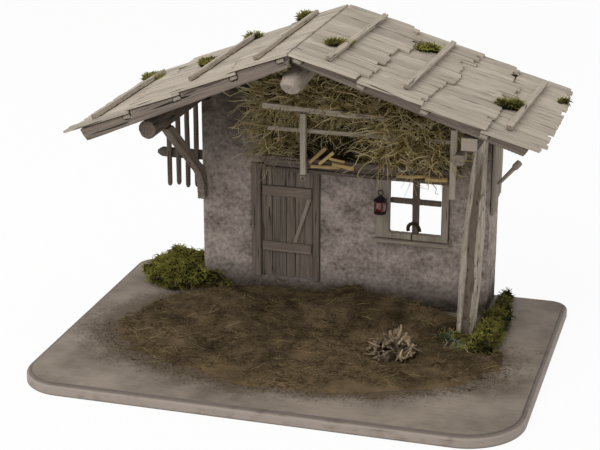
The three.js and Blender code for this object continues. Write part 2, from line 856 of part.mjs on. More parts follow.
function makeGallery() {
  const floorOutline = [
    [interiorLeftX + gap, wallBackY + gap],
    [loftLeftX + gap, wallBackY + gap],
    [loftLeftX + gap, galleryY],
    [loftRightX - gap, galleryY],
    [loftRightX - gap, wallBackY + gap],
    [interiorRightX - gap, wallBackY + gap],
    [interiorRightX - gap, houseBackY],
    [interiorLeftX + gap, houseBackY],
  ];
  piece('loft_floor', planSlab(floorOutline, loftBottom, loftFloorThickness), 'shadedWood');
  const beamBottom = loftTop + gap;
  const beam = block(
    loftLeftX + gap, galleryY, beamBottom,
    loftRightX - gap, galleryBackY, beamBottom + galleryBeamHeight,
  );
  piece('gallery_beam', beam, 'shadedWood');
  const half = balusterWidth / 2;
  const leftBaluster = block(
    leftBalusterX - half, railFrontY, beamBottom - leftBalusterDrop,
    leftBalusterX + half, galleryY - gap, upperRailAt(leftBalusterX + half) - gap,
  );
  piece('baluster_left', leftBaluster, 'weatheredWood');
  const rightFoot = beamBottom - rightBalusterDrop;
  const rightBaluster = block(
    rightBalusterX - half, railFrontY, rightFoot,
    rightBalusterX + half, galleryY - gap, rightFoot + rightBalusterHeight,
  );
  piece('baluster_right', rightBaluster, 'weatheredWood');
  const upperRailEndX = loftLeftX + upperRailLength;
  const upperRailOutline = [
    [loftLeftX + gap, upperRailAt(loftLeftX)],
    [upperRailEndX, upperRailAt(upperRailEndX)],
    [upperRailEndX, upperRailAt(upperRailEndX) + railThickness],
    [loftLeftX + gap, upperRailAt(loftLeftX) + railThickness],
  ];
  piece('gallery_rail_upper', frontSlab(upperRailOutline, railFrontY - 0.5, railThickness), 'weatheredWood');
  const lowerRail = block(
    loftLeftX + 4, galleryY, lowerRailZ,
    loftRightX - gap, galleryY + lowerRailThickness, lowerRailZ + lowerRailThickness,
  );
  piece('gallery_rail_lower', lowerRail, 'weatheredWood');
  piece('hay_fill', hay(), 'hay');
}

// Heaped hay on the loft floor, higher in the middle, bulging over the upper rail
function hay() {
  const startX = loftLeftX + 2 * gap;
  const endX = loftRightX - 2 * gap;
  const frontY = galleryY + lowerRailThickness + gap;
  const backY = houseBackY - gableBoardThickness - gap;
  const stations = 9;
  const floorZ = loftTop + gap;
  const overRail = upperRailZ + railThickness + 3;
  const rings = [];
  for (let station = 0; station <= stations; station += 1) {
    const share = station / stations;
    const x = THREE.MathUtils.lerp(startX, endX, share);
    const side = x < 0 ? left : right;
    const roof = underSlope(side, x, side.rafterBottom) - 3 * gap;
    const end = station === 0 || station === stations ? 0.82 : 1;
    const uneven = 4 * Math.sin(station * 2.1);
    const top = Math.min(roof, ridgeLogZ - ridgeLogRadius - 2) * end + (1 - end) * floorZ - 4 + uneven * 0.5;
    const brow = Math.min(overRail, top - 6);
    rings.push([
      [x, galleryBackY + 2 * gap, floorZ],
      [x, backY, floorZ],
      [x, backY, top - 8],
      [x, backY - 22, top],
      [x, frontY + 12, top - 2],
      [x, frontY + 1 - uneven * 0.2, brow],
      [x, galleryBackY + 2 * gap + 2, (floorZ + brow) / 2],
    ]);
  }
  return closedAlongX(rings);
}

// The same closed skin, for rings that stand upright and face along X
function closedAlongX(rings) {
  const lying = rings.map((ring) => ring.map(([x, y, z]) => [y, z, x]));
  const geometry = lofted(lying);
  const stand = new THREE.Matrix4().makeBasis(
    new THREE.Vector3(0, 1, 0),
    new THREE.Vector3(0, 0, 1),
    new THREE.Vector3(1, 0, 0),
  );
  geometry.applyMatrix4(stand);
  return geometry;
}

// Door: frame, planked leaf with two ledges and a brace, and the rod that it turns on
const doorFootZ = baseTop + doorSillHeight + gap;
const doorTopZ = baseTop + doorSillHeight + doorHeight;
const doorHeadTop = doorTopZ + doorHeadHeight;
const leafFrontY = wallFrontY - frameProud + doorRecess;
const leafLeftX = doorLeftX + doorEdgeGap;
const leafRightX = doorLeftX + doorWidth - doorEdgeGap;
const leafFootZ = doorFootZ + 1.5;
const leafTopZ = doorTopZ - doorEdgeGap;
const ledgeFrontY = leafFrontY - gap - ledgeThickness;
const hingeX = leafLeftX + hingeRodRadius;
const hingeY = leafFrontY + doorThickness + gap + hingeRodRadius;

function makeDoor() {
  const outerLeft = doorLeftX - leftJambWidth;
  const outerRight = doorLeftX + doorWidth + rightJambWidth;
  const frameOutline = [
    [outerLeft, doorFootZ],
    [doorLeftX, doorFootZ],
    [doorLeftX, doorTopZ],
    [doorLeftX + doorWidth, doorTopZ],
    [doorLeftX + doorWidth, doorFootZ],
    [outerRight, doorFootZ],
    [outerRight, doorHeadTop],
    [outerLeft, doorHeadTop],
  ];
  piece('door_frame', frontSlab(frameOutline, wallFrontY - frameProud, doorFrameDepth), 'doorWood');
  piece('door_planks', doorLeaf(), 'doorWood');
  const ledgeLeft = leafLeftX + 0.4;
  const ledgeRight = leafRightX - ledgeEndInset;
  const upperZ = leafFootZ + upperLedgeHeight;
  const lowerZ = leafFootZ + lowerLedgeHeight;
  const ledgeBackY = leafFrontY - gap;
  const upperLedge = block(ledgeLeft, ledgeFrontY, upperZ, ledgeRight, ledgeBackY, upperZ + ledgeHeight);
  const lowerLedge = block(ledgeLeft, ledgeFrontY, lowerZ, ledgeRight, ledgeBackY, lowerZ + ledgeHeight);
  piece('door_ledge_upper', upperLedge, 'doorWood');
  piece('door_ledge_lower', lowerLedge, 'doorWood');
  const braceTop = upperZ - gap;
  const braceFoot = lowerZ + ledgeHeight + gap;
  const braceRun = doorWidth * 0.28;
  const braceOutline = [
    [ledgeRight - braceRun - doorBraceWidth, braceFoot],
    [ledgeRight - braceRun, braceFoot],
    [ledgeRight, braceTop],
    [ledgeRight - doorBraceWidth, braceTop],
  ];
  piece('door_brace', frontSlab(braceOutline, ledgeFrontY, ledgeThickness), 'freshWood');
  const rod = new THREE.CylinderGeometry(hingeRodRadius, hingeRodRadius, doorTopZ - doorFootZ - gap, 12);
  rod.rotateX(Math.PI / 2);
  rod.translate(hingeX, hingeY, (doorTopZ - gap + doorFootZ) / 2);
  piece('door_hinge_rod', rod, 'iron');
}

// Four planks side by side, with grooves between them and uneven lower ends
function doorLeaf() {
  const count = 4;
  const grooveWidth = 0.8;
  const grooveDepth = 0.9;
  const width = (leafRightX - leafLeftX) / count;
  const outline = [[leafRightX, leafTopZ], [leafLeftX, leafTopZ]];
  for (let plank = 0; plank < count; plank += 1) {
    const foot = leafFootZ + 1.4 * scatter(plank + 4);
    outline.push([leafLeftX + plank * width, foot]);
    outline.push([leafLeftX + (plank + 1) * width, foot]);
  }
  const grooves = [];
  for (let plank = 1; plank < count; plank += 1) {
    const x = leafLeftX + plank * width;
    grooves.push(block(
      x - grooveWidth / 2, leafFrontY - 1, leafFootZ - 1,
      x + grooveWidth / 2, leafFrontY + grooveDepth, leafTopZ + 1,
    ));
  }
  return cut(frontSlab(outline, leafFrontY, doorThickness), ...grooves);
}

// Window: frame with the lantern's nail, cross bars and sill
const windowFootZ = baseTop + windowSillHeight;
const windowPaneZ = windowFootZ + windowFootHeight;
const windowPaneTop = windowPaneZ + windowHeight;
const windowTopZ = windowPaneTop + windowHeadHeight;
const windowFrontY = wallFrontY - windowFrameProud;
const nailX = windowLeftX - leftStileWidth / 2;
const nailZ = baseTop + lanternNailHeight;
const lanternY = windowFrontY - lanternStandOff - lanternRadius;

function makeWindow() {
  const rightX = windowLeftX + windowWidth;
  const outline = rectangle(windowLeftX - leftStileWidth, windowFootZ, rightX + rightStileWidth, windowTopZ);
  const opening = rectangle(windowLeftX, windowPaneZ, rightX, windowPaneTop);
  const frame = frontSlab(outline, windowFrontY, windowFrameDepth, [opening]);
  const nailLength = windowFrontY - lanternY + 4;
  const nail = new THREE.CylinderGeometry(nailRadius, nailRadius, nailLength, 8);
  nail.translate(nailX, windowFrontY + 1 - nailLength / 2, nailZ);
  piece('window_frame', joined(frame, nail), 'doorWood');
  const barFrontY = windowFrontY + (windowFrameDepth - windowBarDepth) / 2;
  const mullionX = windowLeftX + windowWidth * mullionShare - mullionWidth / 2;
  const transomZ = windowPaneZ + windowHeight * transomShare - transomHeight / 2;
  const mullion = block(
    mullionX, barFrontY, windowPaneZ + gap,
    mullionX + mullionWidth, barFrontY + windowBarDepth, windowPaneTop - gap,
  );
  const transom = block(
    windowLeftX + gap, barFrontY, transomZ,
    rightX - gap, barFrontY + windowBarDepth, transomZ + transomHeight,
  );
  piece('window_bars', joined(mullion, transom), 'doorWood');
  const sill = block(
    windowLeftX - leftStileWidth - sillOverhang, wallFrontY - gap - sillDepth, windowFootZ - gap - sillHeight,
    rightX + rightStileWidth + sillOverhang, wallFrontY - gap, windowFootZ - gap,
  );
  piece('window_sill', sill, 'weatheredWood');
}

// Lantern: a turned body with a wire ring that hangs over the nail
function makeLantern() {
  const ringZ = nailZ + nailRadius + gap - (lanternRingRadius - lanternWireRadius);
  const topZ = ringZ - lanternRingRadius;
  const h = lanternHeight;
  const r = lanternRadius;
  const profile = [
    [0, -h], [r * 0.86, -h], [r * 0.9, -h * 0.9], [r * 0.66, -h * 0.82], [r * 0.7, -h * 0.5],
    [r * 0.62, -h * 0.3], [r, -h * 0.27], [r * 0.45, -h * 0.08], [r * 0.16, 0], [0, 0],
  ];
  const body = new THREE.LatheGeometry(profile.map(([x, y]) => new THREE.Vector2(x, y)), 16);
  body.rotateX(Math.PI / 2);
  body.translate(nailX, lanternY, topZ);
  const ring = new THREE.TorusGeometry(lanternRingRadius, lanternWireRadius, 6, 16);
  ring.rotateX(Math.PI / 2);
  ring.translate(nailX, lanternY, ringZ);
  piece('lantern', joined(body, ring), 'iron');
}

// Lattice of upright slats on one rail, fixed to the left wall
function makeLattice() {
  const railBackY = wallBackY + gap + 1 + latticeSlatThickness;
  const slatFrontY = railBackY - 2 * latticeSlatThickness + 1;
  const railZ = baseTop + latticeRailHeight;
  const railRightX = houseLeftX - gap;
  const railLeftX = railRightX - latticeReach;
  const rail = block(
    railLeftX, railBackY - latticeSlatThickness, railZ,
    railRightX, railBackY, railZ + latticeRailWidth,
  );
  const slats = [];
  const count = 4;
  const pitch = (latticeReach - 12) / count;
  for (let index = 0; index < count; index += 1) {
    const x0 = railLeftX + 11 + index * pitch;
    const x1 = x0 + latticeSlatWidth - (index === 0 ? 2 : 0);
    const foot = baseTop + latticeSlatFoot - 2 * scatter(index + 9);
    const topLeft = underSlope(left, x0, lathHeight + gap);
    const topRight = Math.min(underSlope(left, x1, lathHeight + gap), leftPurlinBottom - gap);
    const top = Math.min(topLeft, topRight);
    slats.push(block(x0, slatFrontY, foot, x1, slatFrontY + latticeSlatThickness, top));
  }
  piece('side_lattice', joined(rail, ...slats), 'shadedWood');
}

// Headed peg that slants up and out from the right wall's boards
function makeSidePeg() {
  const profile = [
    [0, 0], [pegRadius * 0.8, 0], [pegRadius, pegLength * 0.7],
    [pegRadius * 1.5, pegLength * 0.78], [pegRadius * 1.4, pegLength], [0, pegLength],
  ];
  const peg = new THREE.LatheGeometry(profile.map(([x, y]) => new THREE.Vector2(x, y)), 10);
  peg.rotateX(Math.PI / 2);
  peg.rotateY(Math.PI / 2 - pegTilt);
  const wallX = houseRightX + gap + sideBoardThickness + gap;
  const footInset = pegRadius * 0.8 * Math.sin(pegTilt);
  peg.translate(wallX + footInset, pegY, baseTop + pegHeight);
  piece('side_peg', peg, 'weatheredWood');
}

makeBaseBoard();
makeEarth();
makeMossAndBrush();
makeWalls();
makeGallery();
makePurlins();
makeRoof();
makeSupports();
makeDoor();
makeWindow();
makeLantern();
makeLattice();
makeSidePeg();

export default stable;
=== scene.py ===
import math
import random
from contextlib import contextmanager

import bmesh
import bpy
import numpy as np
from mathutils import Matrix, Vector, noise


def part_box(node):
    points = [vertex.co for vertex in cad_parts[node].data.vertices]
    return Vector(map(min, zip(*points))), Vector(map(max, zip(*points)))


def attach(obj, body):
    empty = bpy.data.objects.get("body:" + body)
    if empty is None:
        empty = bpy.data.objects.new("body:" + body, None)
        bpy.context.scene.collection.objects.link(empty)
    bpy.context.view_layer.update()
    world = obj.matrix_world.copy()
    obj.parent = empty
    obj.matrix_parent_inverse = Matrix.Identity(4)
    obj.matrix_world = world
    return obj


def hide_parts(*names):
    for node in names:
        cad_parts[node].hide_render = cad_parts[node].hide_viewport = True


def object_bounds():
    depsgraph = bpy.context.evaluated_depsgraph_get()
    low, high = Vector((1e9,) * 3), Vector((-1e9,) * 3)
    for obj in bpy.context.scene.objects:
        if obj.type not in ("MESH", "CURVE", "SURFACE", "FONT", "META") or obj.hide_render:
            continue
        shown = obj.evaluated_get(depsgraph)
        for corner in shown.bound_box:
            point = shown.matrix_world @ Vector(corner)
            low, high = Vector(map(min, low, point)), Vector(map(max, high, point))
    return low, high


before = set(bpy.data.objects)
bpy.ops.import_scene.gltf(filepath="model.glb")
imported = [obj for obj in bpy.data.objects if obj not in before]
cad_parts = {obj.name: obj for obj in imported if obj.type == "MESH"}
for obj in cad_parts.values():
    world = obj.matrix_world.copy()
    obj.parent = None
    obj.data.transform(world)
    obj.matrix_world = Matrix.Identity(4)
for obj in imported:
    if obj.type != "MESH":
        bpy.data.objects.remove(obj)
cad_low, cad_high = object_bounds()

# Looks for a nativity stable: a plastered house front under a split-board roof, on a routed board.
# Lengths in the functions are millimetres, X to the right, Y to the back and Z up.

bl_info = {
    "name": "Nativity stable",
    "version": (1, 0, 0),
    "blender": (4, 5, 0),
    "location": "View3D > Sidebar > Stable",
    "description": "Builds a weathered model stable with its hay, moss and earth",
    "category": "Object",
}

MM = 0.001

# Sizes shared with the solids
BASE_TOP = 12.0
BASE_HALF_WIDTH = 240.0
BASE_HALF_DEPTH = 172.0
BASE_CORNER_RADII = (58.0, 18.0, 18.0, 44.0)
RIDGE_Z = 313.9
LEFT_SLOPE = math.radians(23)
RIGHT_SLOPE = math.radians(18.1)
LEFT_RUN = 223.0
RIGHT_RUN = 235.0
ROOF_FRONT_Y = -60.0
ROOF_BACK_Y = 161.0
BOARD_THICKNESS = 2.6
BOARD_OVERLAP = 8.0
AIR = 0.3
JOINT = 0.45
WALL_Y = 105.0
LOFT_TOP = 165.0
HOUSE_BACK_Y = 160.0
LATTICE_RAIL_Y = 116.0
LATTICE_SLAT_Y = 112.5
EARTH_CENTRE_Y = -10.0
EARTH_REACH = (205.0, 116.0)

# Edges that turn more than this stay crisp
SHARP_ANGLE = math.radians(38)

ACROSS = (1, 0, 0)
BACK = (0, 1, 0)
UP = (0, 0, 1)

WHITE = (1.0, 1.0, 1.0, 1.0)
BLACK = (0.0, 0.0, 0.0, 1.0)


def linear(hex_colour):
    """An sRGB hex colour as linear red, green, blue and alpha."""
    channels = [int(hex_colour[place:place + 2], 16) / 255 for place in (1, 3, 5)]
    curve = [c / 12.92 if c <= 0.04045 else ((c + 0.055) / 1.055) ** 2.4 for c in channels]
    return (*curve, 1.0)


def colour_property(name, description, hex_colour):
    return bpy.props.FloatVectorProperty(
        name=name, description=description, default=linear(hex_colour),
        size=4, min=0.0, max=1.0, subtype="COLOR",
    )


def length_property(name, description, default):
    return bpy.props.FloatProperty(
        name=name, description=description, default=default, min=0.0, unit="LENGTH", subtype="DISTANCE",
    )


def power_property(name, description, default):
    return bpy.props.FloatProperty(name=name, description=description, default=default, min=0.0)


def seed_property(spread, default):
    return bpy.props.IntProperty(
        name="Seed", description="Picks another spread of " + spread, default=default, min=0,
    )


# Settings
class StableTimberSettings(bpy.types.PropertyGroup):
    board_pale: colour_property("Pale board", "Sun-bleached side of the roof boards", "#C9BDAC")
    board_dark: colour_property("Dark board", "Weathered streaks of the roof boards", "#887D70")
    timber_pale: colour_property("Pale timber", "Bleached faces of rafters, rails and battens", "#AEA294")
    timber_dark: colour_property("Dark timber", "Streaks in rafters, rails and battens", "#685D52")
    shade_pale: colour_property("Shaded timber", "Faces of the timbers under the roof", "#776B60")
    shade_dark: colour_property("Shaded streaks", "Streaks in the timbers under the roof", "#3E352D")
    end_rough: length_property("Ragged ends", "How far the roof boards' lower ends vary", 0.0055)
    split_gap: length_property("Gap", "Widest gap between two roof boards", 0.0007)
    seed: seed_property("boards", 7)


class StableHouseSettings(bpy.types.PropertyGroup):
    plaster_pale: colour_property("Plaster", "Clean lime plaster", "#CABBB2")
    plaster_dark: colour_property("Plaster pits", "Pits and damp patches in the plaster", "#60554E")
    # The grime colour also paints the roof's shadow on the upper walls
    grime_and_shade: colour_property("Grime", "Soot and soil on the plaster", "#3F362E")
    door_pale: colour_property("Door", "Worn faces of the door boards", "#94867A")
    door_dark: colour_property("Door streaks", "Streaks in the door boards", "#453C36")
    glass: colour_property("Lantern glass", "Red glass of the lantern", "#8E1A1C")
    relief: length_property("Plaster relief", "Depth of the trowel marks", 0.0015)


class StableGroundSettings(bpy.types.PropertyGroup):
    board_pale: colour_property("Board", "Bare top of the base board", "#938678")
    board_dark: colour_property("Board stain", "Darker stain of the base board", "#6F6357")
    rim: colour_property("Rim", "Routed rim of the base board", "#A2958B")
    earth_pale: colour_property("Earth", "Dry crumbs of earth", "#7C694F")
    earth_dark: colour_property("Deep earth", "Damp earth between the crumbs", "#33281A")
    straw: colour_property("Straw", "Loose stalks on the ground", "#B5A37A")
    crumb: length_property("Crumb", "Largest crumb of earth", 0.0013)


class StablePlantSettings(bpy.types.PropertyGroup):
    moss_pale: colour_property("Moss tips", "Dry yellow-green tips of the moss", "#A39E4C")
    moss_dark: colour_property("Moss depths", "Shaded depths of the moss", "#322D14")
    hay_pale: colour_property("Hay stalks", "Bleached stalks", "#DDCEA2")
    hay_dark: colour_property("Hay depths", "Shaded olive stalks", "#665733")
    hay_length: length_property("Hay length", "Longest stalk of hay", 0.046)
    seed: seed_property("stalks", 3)


class StableStageSettings(bpy.types.PropertyGroup):
    floor: colour_property("Floor", "Plain pale floor", "#F2F1EF")
    sky: power_property("Sky", "Strength of the soft light all round", 0.62)
    key: power_property("Key lamp", "Power of the large lamp, in watts", 26.0)


# Nodes; each function below add gives the socket that its node ends in
def add(tree, kind, inputs=None, **settings):
    """Adds a node with its settings; an input takes a value, or a socket to be linked from."""
    node = tree.nodes.new(kind)
    for name, value in settings.items():
        setattr(node, name, value)
    for key, value in (inputs or {}).items():
        if isinstance(value, bpy.types.NodeSocket):
            tree.links.new(value, node.inputs[key])
        else:
            node.inputs[key].default_value = value
    return node


def attribute(tree, name, output="Fac"):
    return add(tree, "ShaderNodeAttribute", attribute_name=name).outputs[output]


def own_place(tree):
    return add(tree, "ShaderNodeTexCoord").outputs["Object"]


def axis_of(tree, place, axis):
    return add(tree, "ShaderNodeSeparateXYZ", {0: place}).outputs[axis]


def stretched(tree, place, sizes, shift=(0, 0, 0)):
    """A place measured in three lengths of its own, from a shifted origin."""
    scale = [size * MM for size in sizes]
    location = [step * MM for step in shift]
    inputs = {"Vector": place, "Scale": scale, "Location": location}
    return add(tree, "ShaderNodeMapping", inputs, vector_type="TEXTURE").outputs[0]


def mottle(tree, place, size=None, detail=2.0, roughness=0.5, distortion=0.0):
    """Noise with lumps of a given size, or of the size that a stretched place already has."""
    scale = 1 / (size * MM) if size else 1.0
    inputs = {"Vector": place, "Scale": scale, "Detail": detail, "Roughness": roughness,
              "Distortion": distortion}
    return add(tree, "ShaderNodeTexNoise", inputs).outputs[0]


def ramp(tree, share, *stops):
    """A colour ramp through its stops, each a place and a colour."""
    node = add(tree, "ShaderNodeValToRGB", {0: share})
    elements = node.color_ramp.elements
    for place, _ in stops[2:]:
        elements.new(place)
    for element, (place, colour) in zip(elements, stops):
        element.position = place
        element.color = colour
    return node.outputs[0]


def reckon(tree, operation, *values):
    return add(tree, "ShaderNodeMath", dict(enumerate(values)), operation=operation).outputs[0]


def reckon_vector(tree, operation, first, second):
    key = "Scale" if operation == "SCALE" else 1
    return add(tree, "ShaderNodeVectorMath", {0: first, key: second}, operation=operation).outputs[0]


def remap(tree, value, low, high, to_low=0.0, to_high=1.0):
    """A value carried over from one range to another, and held inside it."""
    inputs = {"Value": value, "From Min": low, "From Max": high, "To Min": to_low, "To Max": to_high}
    return add(tree, "ShaderNodeMapRange", inputs).outputs[0]


def blend(tree, share, colour, other):
    return add(tree, "ShaderNodeMix", {0: share, 6: colour, 7: other}, data_type="RGBA").outputs[2]


def coat(tree, shader, colour, roughness, height=None, relief=0.0, gloss=0.5):
    """Joins a finish to its shader: a colour, a roughness, and a relief from a height."""
    tree.links.new(colour, shader.inputs["Base Color"])
    shader.inputs["Roughness"].default_value = roughness
    shader.inputs["Specular IOR Level"].default_value = gloss
    if height is not None:
        bump = add(tree, "ShaderNodeBump", {"Height": height, "Distance": relief * MM})
        tree.links.new(bump.outputs[0], shader.inputs["Normal"])


def once(make):
    """A finish is made the first time it is asked for, and is named after its function."""
    def ask():
        if make.__name__ not in bpy.data.materials:
            material = bpy.data.materials.new(make.__name__)
            material.use_nodes = True
            tree = material.node_tree
            make(tree, tree.nodes["Principled BSDF"])
        return bpy.data.materials[make.__name__]
    return ask


# Finishes
def wood_grain(tree, shader, pale, dark, fibre=(42, 1.4), bump=0.3, roughness=0.86, greying=0.5,
               darkest=0.76):
    """Weathered softwood: long fine streaks, broad bands and open checks along the grain."""
    grain = attribute(tree, "grain", "Vector")
    length, width = fibre
    fine = stretched(tree, grain, (length, width, width))
    streaks = mottle(tree, fine, detail=5.0, roughness=0.62, distortion=0.2)
    bands = mottle(tree, stretched(tree, grain, (75, 7.5, 7.5)), detail=3.0)
    splits = mottle(tree, stretched(tree, grain, (55, 2.6, 2.6), (310, 170, 230)))
    whole = ramp(tree, splits, (0.30, BLACK), (0.345, WHITE))
    middle = [0.5 * (one + other) for one, other in zip(pale, dark)]
    wood = ramp(tree, streaks, (0.3, dark), (0.62, pale))
    bleached = ramp(tree, bands, (0.35, middle), (0.6, pale))
    own = remap(tree, attribute(tree, "tone"), 0.0, 1.0, darkest, 1.1)
    toned = reckon_vector(tree, "MULTIPLY", blend(tree, greying, wood, bleached), own)
    deep = [0.35 * channel for channel in dark[:3]] + [1.0]
    height = reckon(tree, "MULTIPLY_ADD", streaks, 0.55, whole)
    coat(tree, shader, blend(tree, whole, deep, toned), roughness, height, bump, gloss=0.25)


@once
def split_spruce_bleached(tree, shader):
    # Boards split by hand and left in the sun: silver-beige, with fine raised fibres
    timber = bpy.context.scene.stable_timber
    wood_grain(tree, shader, timber.board_pale, timber.board_dark, darkest=0.82)


@once
def sawn_spruce_weathered(tree, shader):
    # Sawn laths and rails gone grey: the soft wood worn back between the fibres
    timber = bpy.context.scene.stable_timber
    wood_grain(tree, shader, timber.timber_pale, timber.timber_dark, fibre=(36, 1.2), bump=0.35)


@once
def weathered_post_shaded_hollow(tree, shader):
    # The post's split face: silver on its ridges, with a darker brown painted into the hollow as shade
    timber = bpy.context.scene.stable_timber
    wood_grain(tree, shader, timber.board_pale, timber.timber_dark, fibre=(40, 1.6), bump=0.7)
    silver = shader.inputs["Base Color"].links[0].from_socket
    share = remap(tree, attribute(tree, "hollow"), 0.1, 0.7, 0.0, 0.8)
    tree.links.new(blend(tree, share, silver, linear("#5A4B3E")), shader.inputs["Base Color"])


@once
def spruce_in_shade(tree, shader):
    # The same timber under the roof in darker colours, as painted shade: brown-black where no sun reaches it
    timber = bpy.context.scene.stable_timber
    wood_grain(tree, shader, timber.shade_pale, timber.shade_dark, fibre=(36, 1.5), bump=0.4, greying=0.3)


@once
def fir_planks_worn(tree, shader):
    # Door and window timber: planed once, dark in the grain and rubbed pale on the faces
    house = bpy.context.scene.stable_house
    wood_grain(tree, shader, house.door_pale, house.door_dark, fibre=(48, 1.3), bump=0.35, greying=0.35)


@once
def split_pine_fresh(tree, shader):
    # Newly split firewood: yellow, with a silky break along the fibres
    wood_grain(tree, shader, linear("#CFB27C"), linear("#7A5A33"), fibre=(24, 1.6), bump=0.5, roughness=0.8)


@once
def twig_bark_dried(tree, shader):
    # Dry twigs and bark chips: pinkish beige where peeled, brown-black in the cracks
    wood_grain(tree, shader, linear("#C9B191"), linear("#3A2D21"), fibre=(9, 1.6), bump=0.5,
               greying=0.15, darkest=0.22)


@once
def end_grain_weathered(tree, shader):
    # Sawn end: rings about 1.3 mm apart, darkened by the rain they soak up
    warp = mottle(tree, attribute(tree, "grain", "Vector"), 3.846154, detail=3.0)
    turns = reckon(tree, "MULTIPLY", attribute(tree, "pith"), 2 * math.pi / (1.3 * MM))
    wave = reckon(tree, "SINE", reckon(tree, "MULTIPLY_ADD", warp, 7.0, turns))
    share = remap(tree, wave, -1.0, 1.0)
    rings = ramp(tree, share, (0.0, linear("#7A6D60")), (0.8, linear("#B0A394")))
    coat(tree, shader, rings, 0.9, share, 0.2)


@once
def lime_plaster_trowelled(tree, shader):
    # Coarse lime plaster, trowelled by hand: pitted and blotched, sooty under the roof and hay, where the
    # roof's shadow is painted in as well
    house = bpy.context.scene.stable_house
    place = own_place(tree)
    blotch = mottle(tree, stretched(tree, place, (34, 34, 19)), detail=4.0, roughness=0.62)
    pits = mottle(tree, place, 4.2, detail=4.0, roughness=0.65)
    sand = mottle(tree, place, 1.1)
    large = ramp(tree, blotch, (0.35, house.plaster_dark), (0.62, house.plaster_pale))
    small = ramp(tree, pits, (0.3, house.plaster_dark), (0.63, house.plaster_pale))
    height = axis_of(tree, place, "Z")
    ground = remap(tree, height, 50 * MM, 16 * MM)
    # Painted shadow of the roof mixed with soot: the walls darken upwards from 128 mm under the eaves
    eaves_soot_and_shade = remap(tree, height, 128 * MM, 205 * MM)
    ragged = reckon(tree, "MULTIPLY", reckon(tree, "MAXIMUM", ground, eaves_soot_and_shade), blotch)
    share = remap(tree, ragged, 0.05, 0.55)
    soiled_and_shaded = blend(tree, share, blend(tree, 0.55, large, small), house.grime_and_shade)
    coat(tree, shader, soiled_and_shaded, 0.95, reckon(tree, "MULTIPLY_ADD", sand, 0.3, pits), 1.1, gloss=0.15)


@once
def base_board_stained(tree, shader):
    # Sanded board with a thin grey-brown stain, and soil rubbed in round the earth
    ground = bpy.context.scene.stable_ground
    place = own_place(tree)
    cloud = mottle(tree, place, 60, detail=5.0, roughness=0.6)
    strokes = mottle(tree, stretched(tree, place, (30, 2, 2)), detail=3.0)
    specks = mottle(tree, place, 1.6)
    grains = mottle(tree, place, 2.6, detail=3.0)
    stain = ramp(tree, cloud, (0.35, ground.board_dark), (0.62, ground.board_pale))
    toned = reckon_vector(tree, "MULTIPLY", stain, remap(tree, strokes, 0.3, 0.7, 0.9, 1.07))
    reach = stretched(tree, place, (*EARTH_REACH, 1 / MM), (-7, EARTH_CENTRE_Y, 0))
    apart = add(tree, "ShaderNodeVectorMath", {0: reach}, operation="LENGTH").outputs["Value"]
    frayed = reckon(tree, "MULTIPLY_ADD", cloud, 0.5, apart)
    wash = remap(tree, frayed, 1.43, 1.17, 0.0, 0.85)
    soil = blend(tree, wash, toned, linear("#54473A"))
    spilt = reckon(tree, "MULTIPLY_ADD", grains, -0.55, frayed)
    dirty = blend(tree, remap(tree, spilt, 1.1, 0.94), soil, linear("#574937"))
    coat(tree, shader, dirty, 0.8, specks, 0.12)


@once
def base_rim_routed(tree, shader):
    # The routed edge takes less stain: paler and pinker, with cutter marks along it, painted shade in the
    # groove under the lip and a painted shadow along the foot
    ground = bpy.context.scene.stable_ground
    place = own_place(tree)
    lines = mottle(tree, stretched(tree, place, (30, 30, 0.9)), detail=4.0)
    worn = mottle(tree, place, 12, detail=4.0)
    edge = ramp(tree, reckon(tree, "ADD", lines, worn), (0.55, ground.board_dark), (0.95, ground.rim))
    height = axis_of(tree, place, "Z")
    # Painted shade in the groove under the top lip, and a painted shadow along the foot
    groove = remap(tree, height, 9.3 * MM, 10.3 * MM)
    foot = remap(tree, height, 2.2 * MM, 0.6 * MM)
    groove_and_foot_shade = reckon(tree, "MULTIPLY", reckon(tree, "MAXIMUM", groove, foot), 0.6)
    coat(tree, shader, blend(tree, groove_and_foot_shade, edge, linear("#453A31")), 0.75, lines, 0.15)


@once
def peat_sieved(tree, shader):
    # Sieved peat and sawdust: dark brown, matt and fibrous, and darker towards the back
    ground = bpy.context.scene.stable_ground
    place = own_place(tree)
    patches = mottle(tree, place, 30, detail=4.0)
    grit = mottle(tree, place, 1.8, detail=5.0, roughness=0.7)
    mixed = reckon(tree, "MULTIPLY_ADD", grit, 1.3, patches)
    lifted = reckon(tree, "MULTIPLY_ADD", attribute(tree, "tone"), 0.35, mixed)
    patchy = reckon(tree, "MULTIPLY_ADD", patches, 0.9, lifted)
    paler_to_front = reckon(tree, "MULTIPLY_ADD", axis_of(tree, place, "Y"), -1.6, patchy)
    share = remap(tree, paler_to_front, 1.28, 2.08)
    soil = ramp(tree, share, (0.0, ground.earth_dark), (1.0, ground.earth_pale))
    coat(tree, shader, soil, 1.0, grit, 1.2, gloss=0.1)


def stalk_colours(tree, shader, dark, middle, pale, roughness=1.0, balance=0.45):
    """Stalks and fronds: one colour each, paler to the tip, with a little change along them."""
    clump = mottle(tree, own_place(tree), 14, detail=3.0)
    raised = reckon(tree, "MULTIPLY_ADD", attribute(tree, "tip"), 0.35, clump)
    spread = reckon(tree, "MULTIPLY_ADD", attribute(tree, "tone"), 0.5, raised)
    clumped = reckon(tree, "MULTIPLY_ADD", clump, 1.2, spread)
    share = remap(tree, clumped, 1.05, 1.95)
    colour = ramp(tree, share, (0.0, dark), (balance, middle), (1.0, pale))
    coat(tree, shader, colour, roughness, gloss=0.2)


@once
def peat_fibre(tree, shader):
    # Root fibres and sawdust in the peat: brown, with an olive cast
    stalk_colours(tree, shader, linear("#2A2216"), linear("#544731"), linear("#857452"))


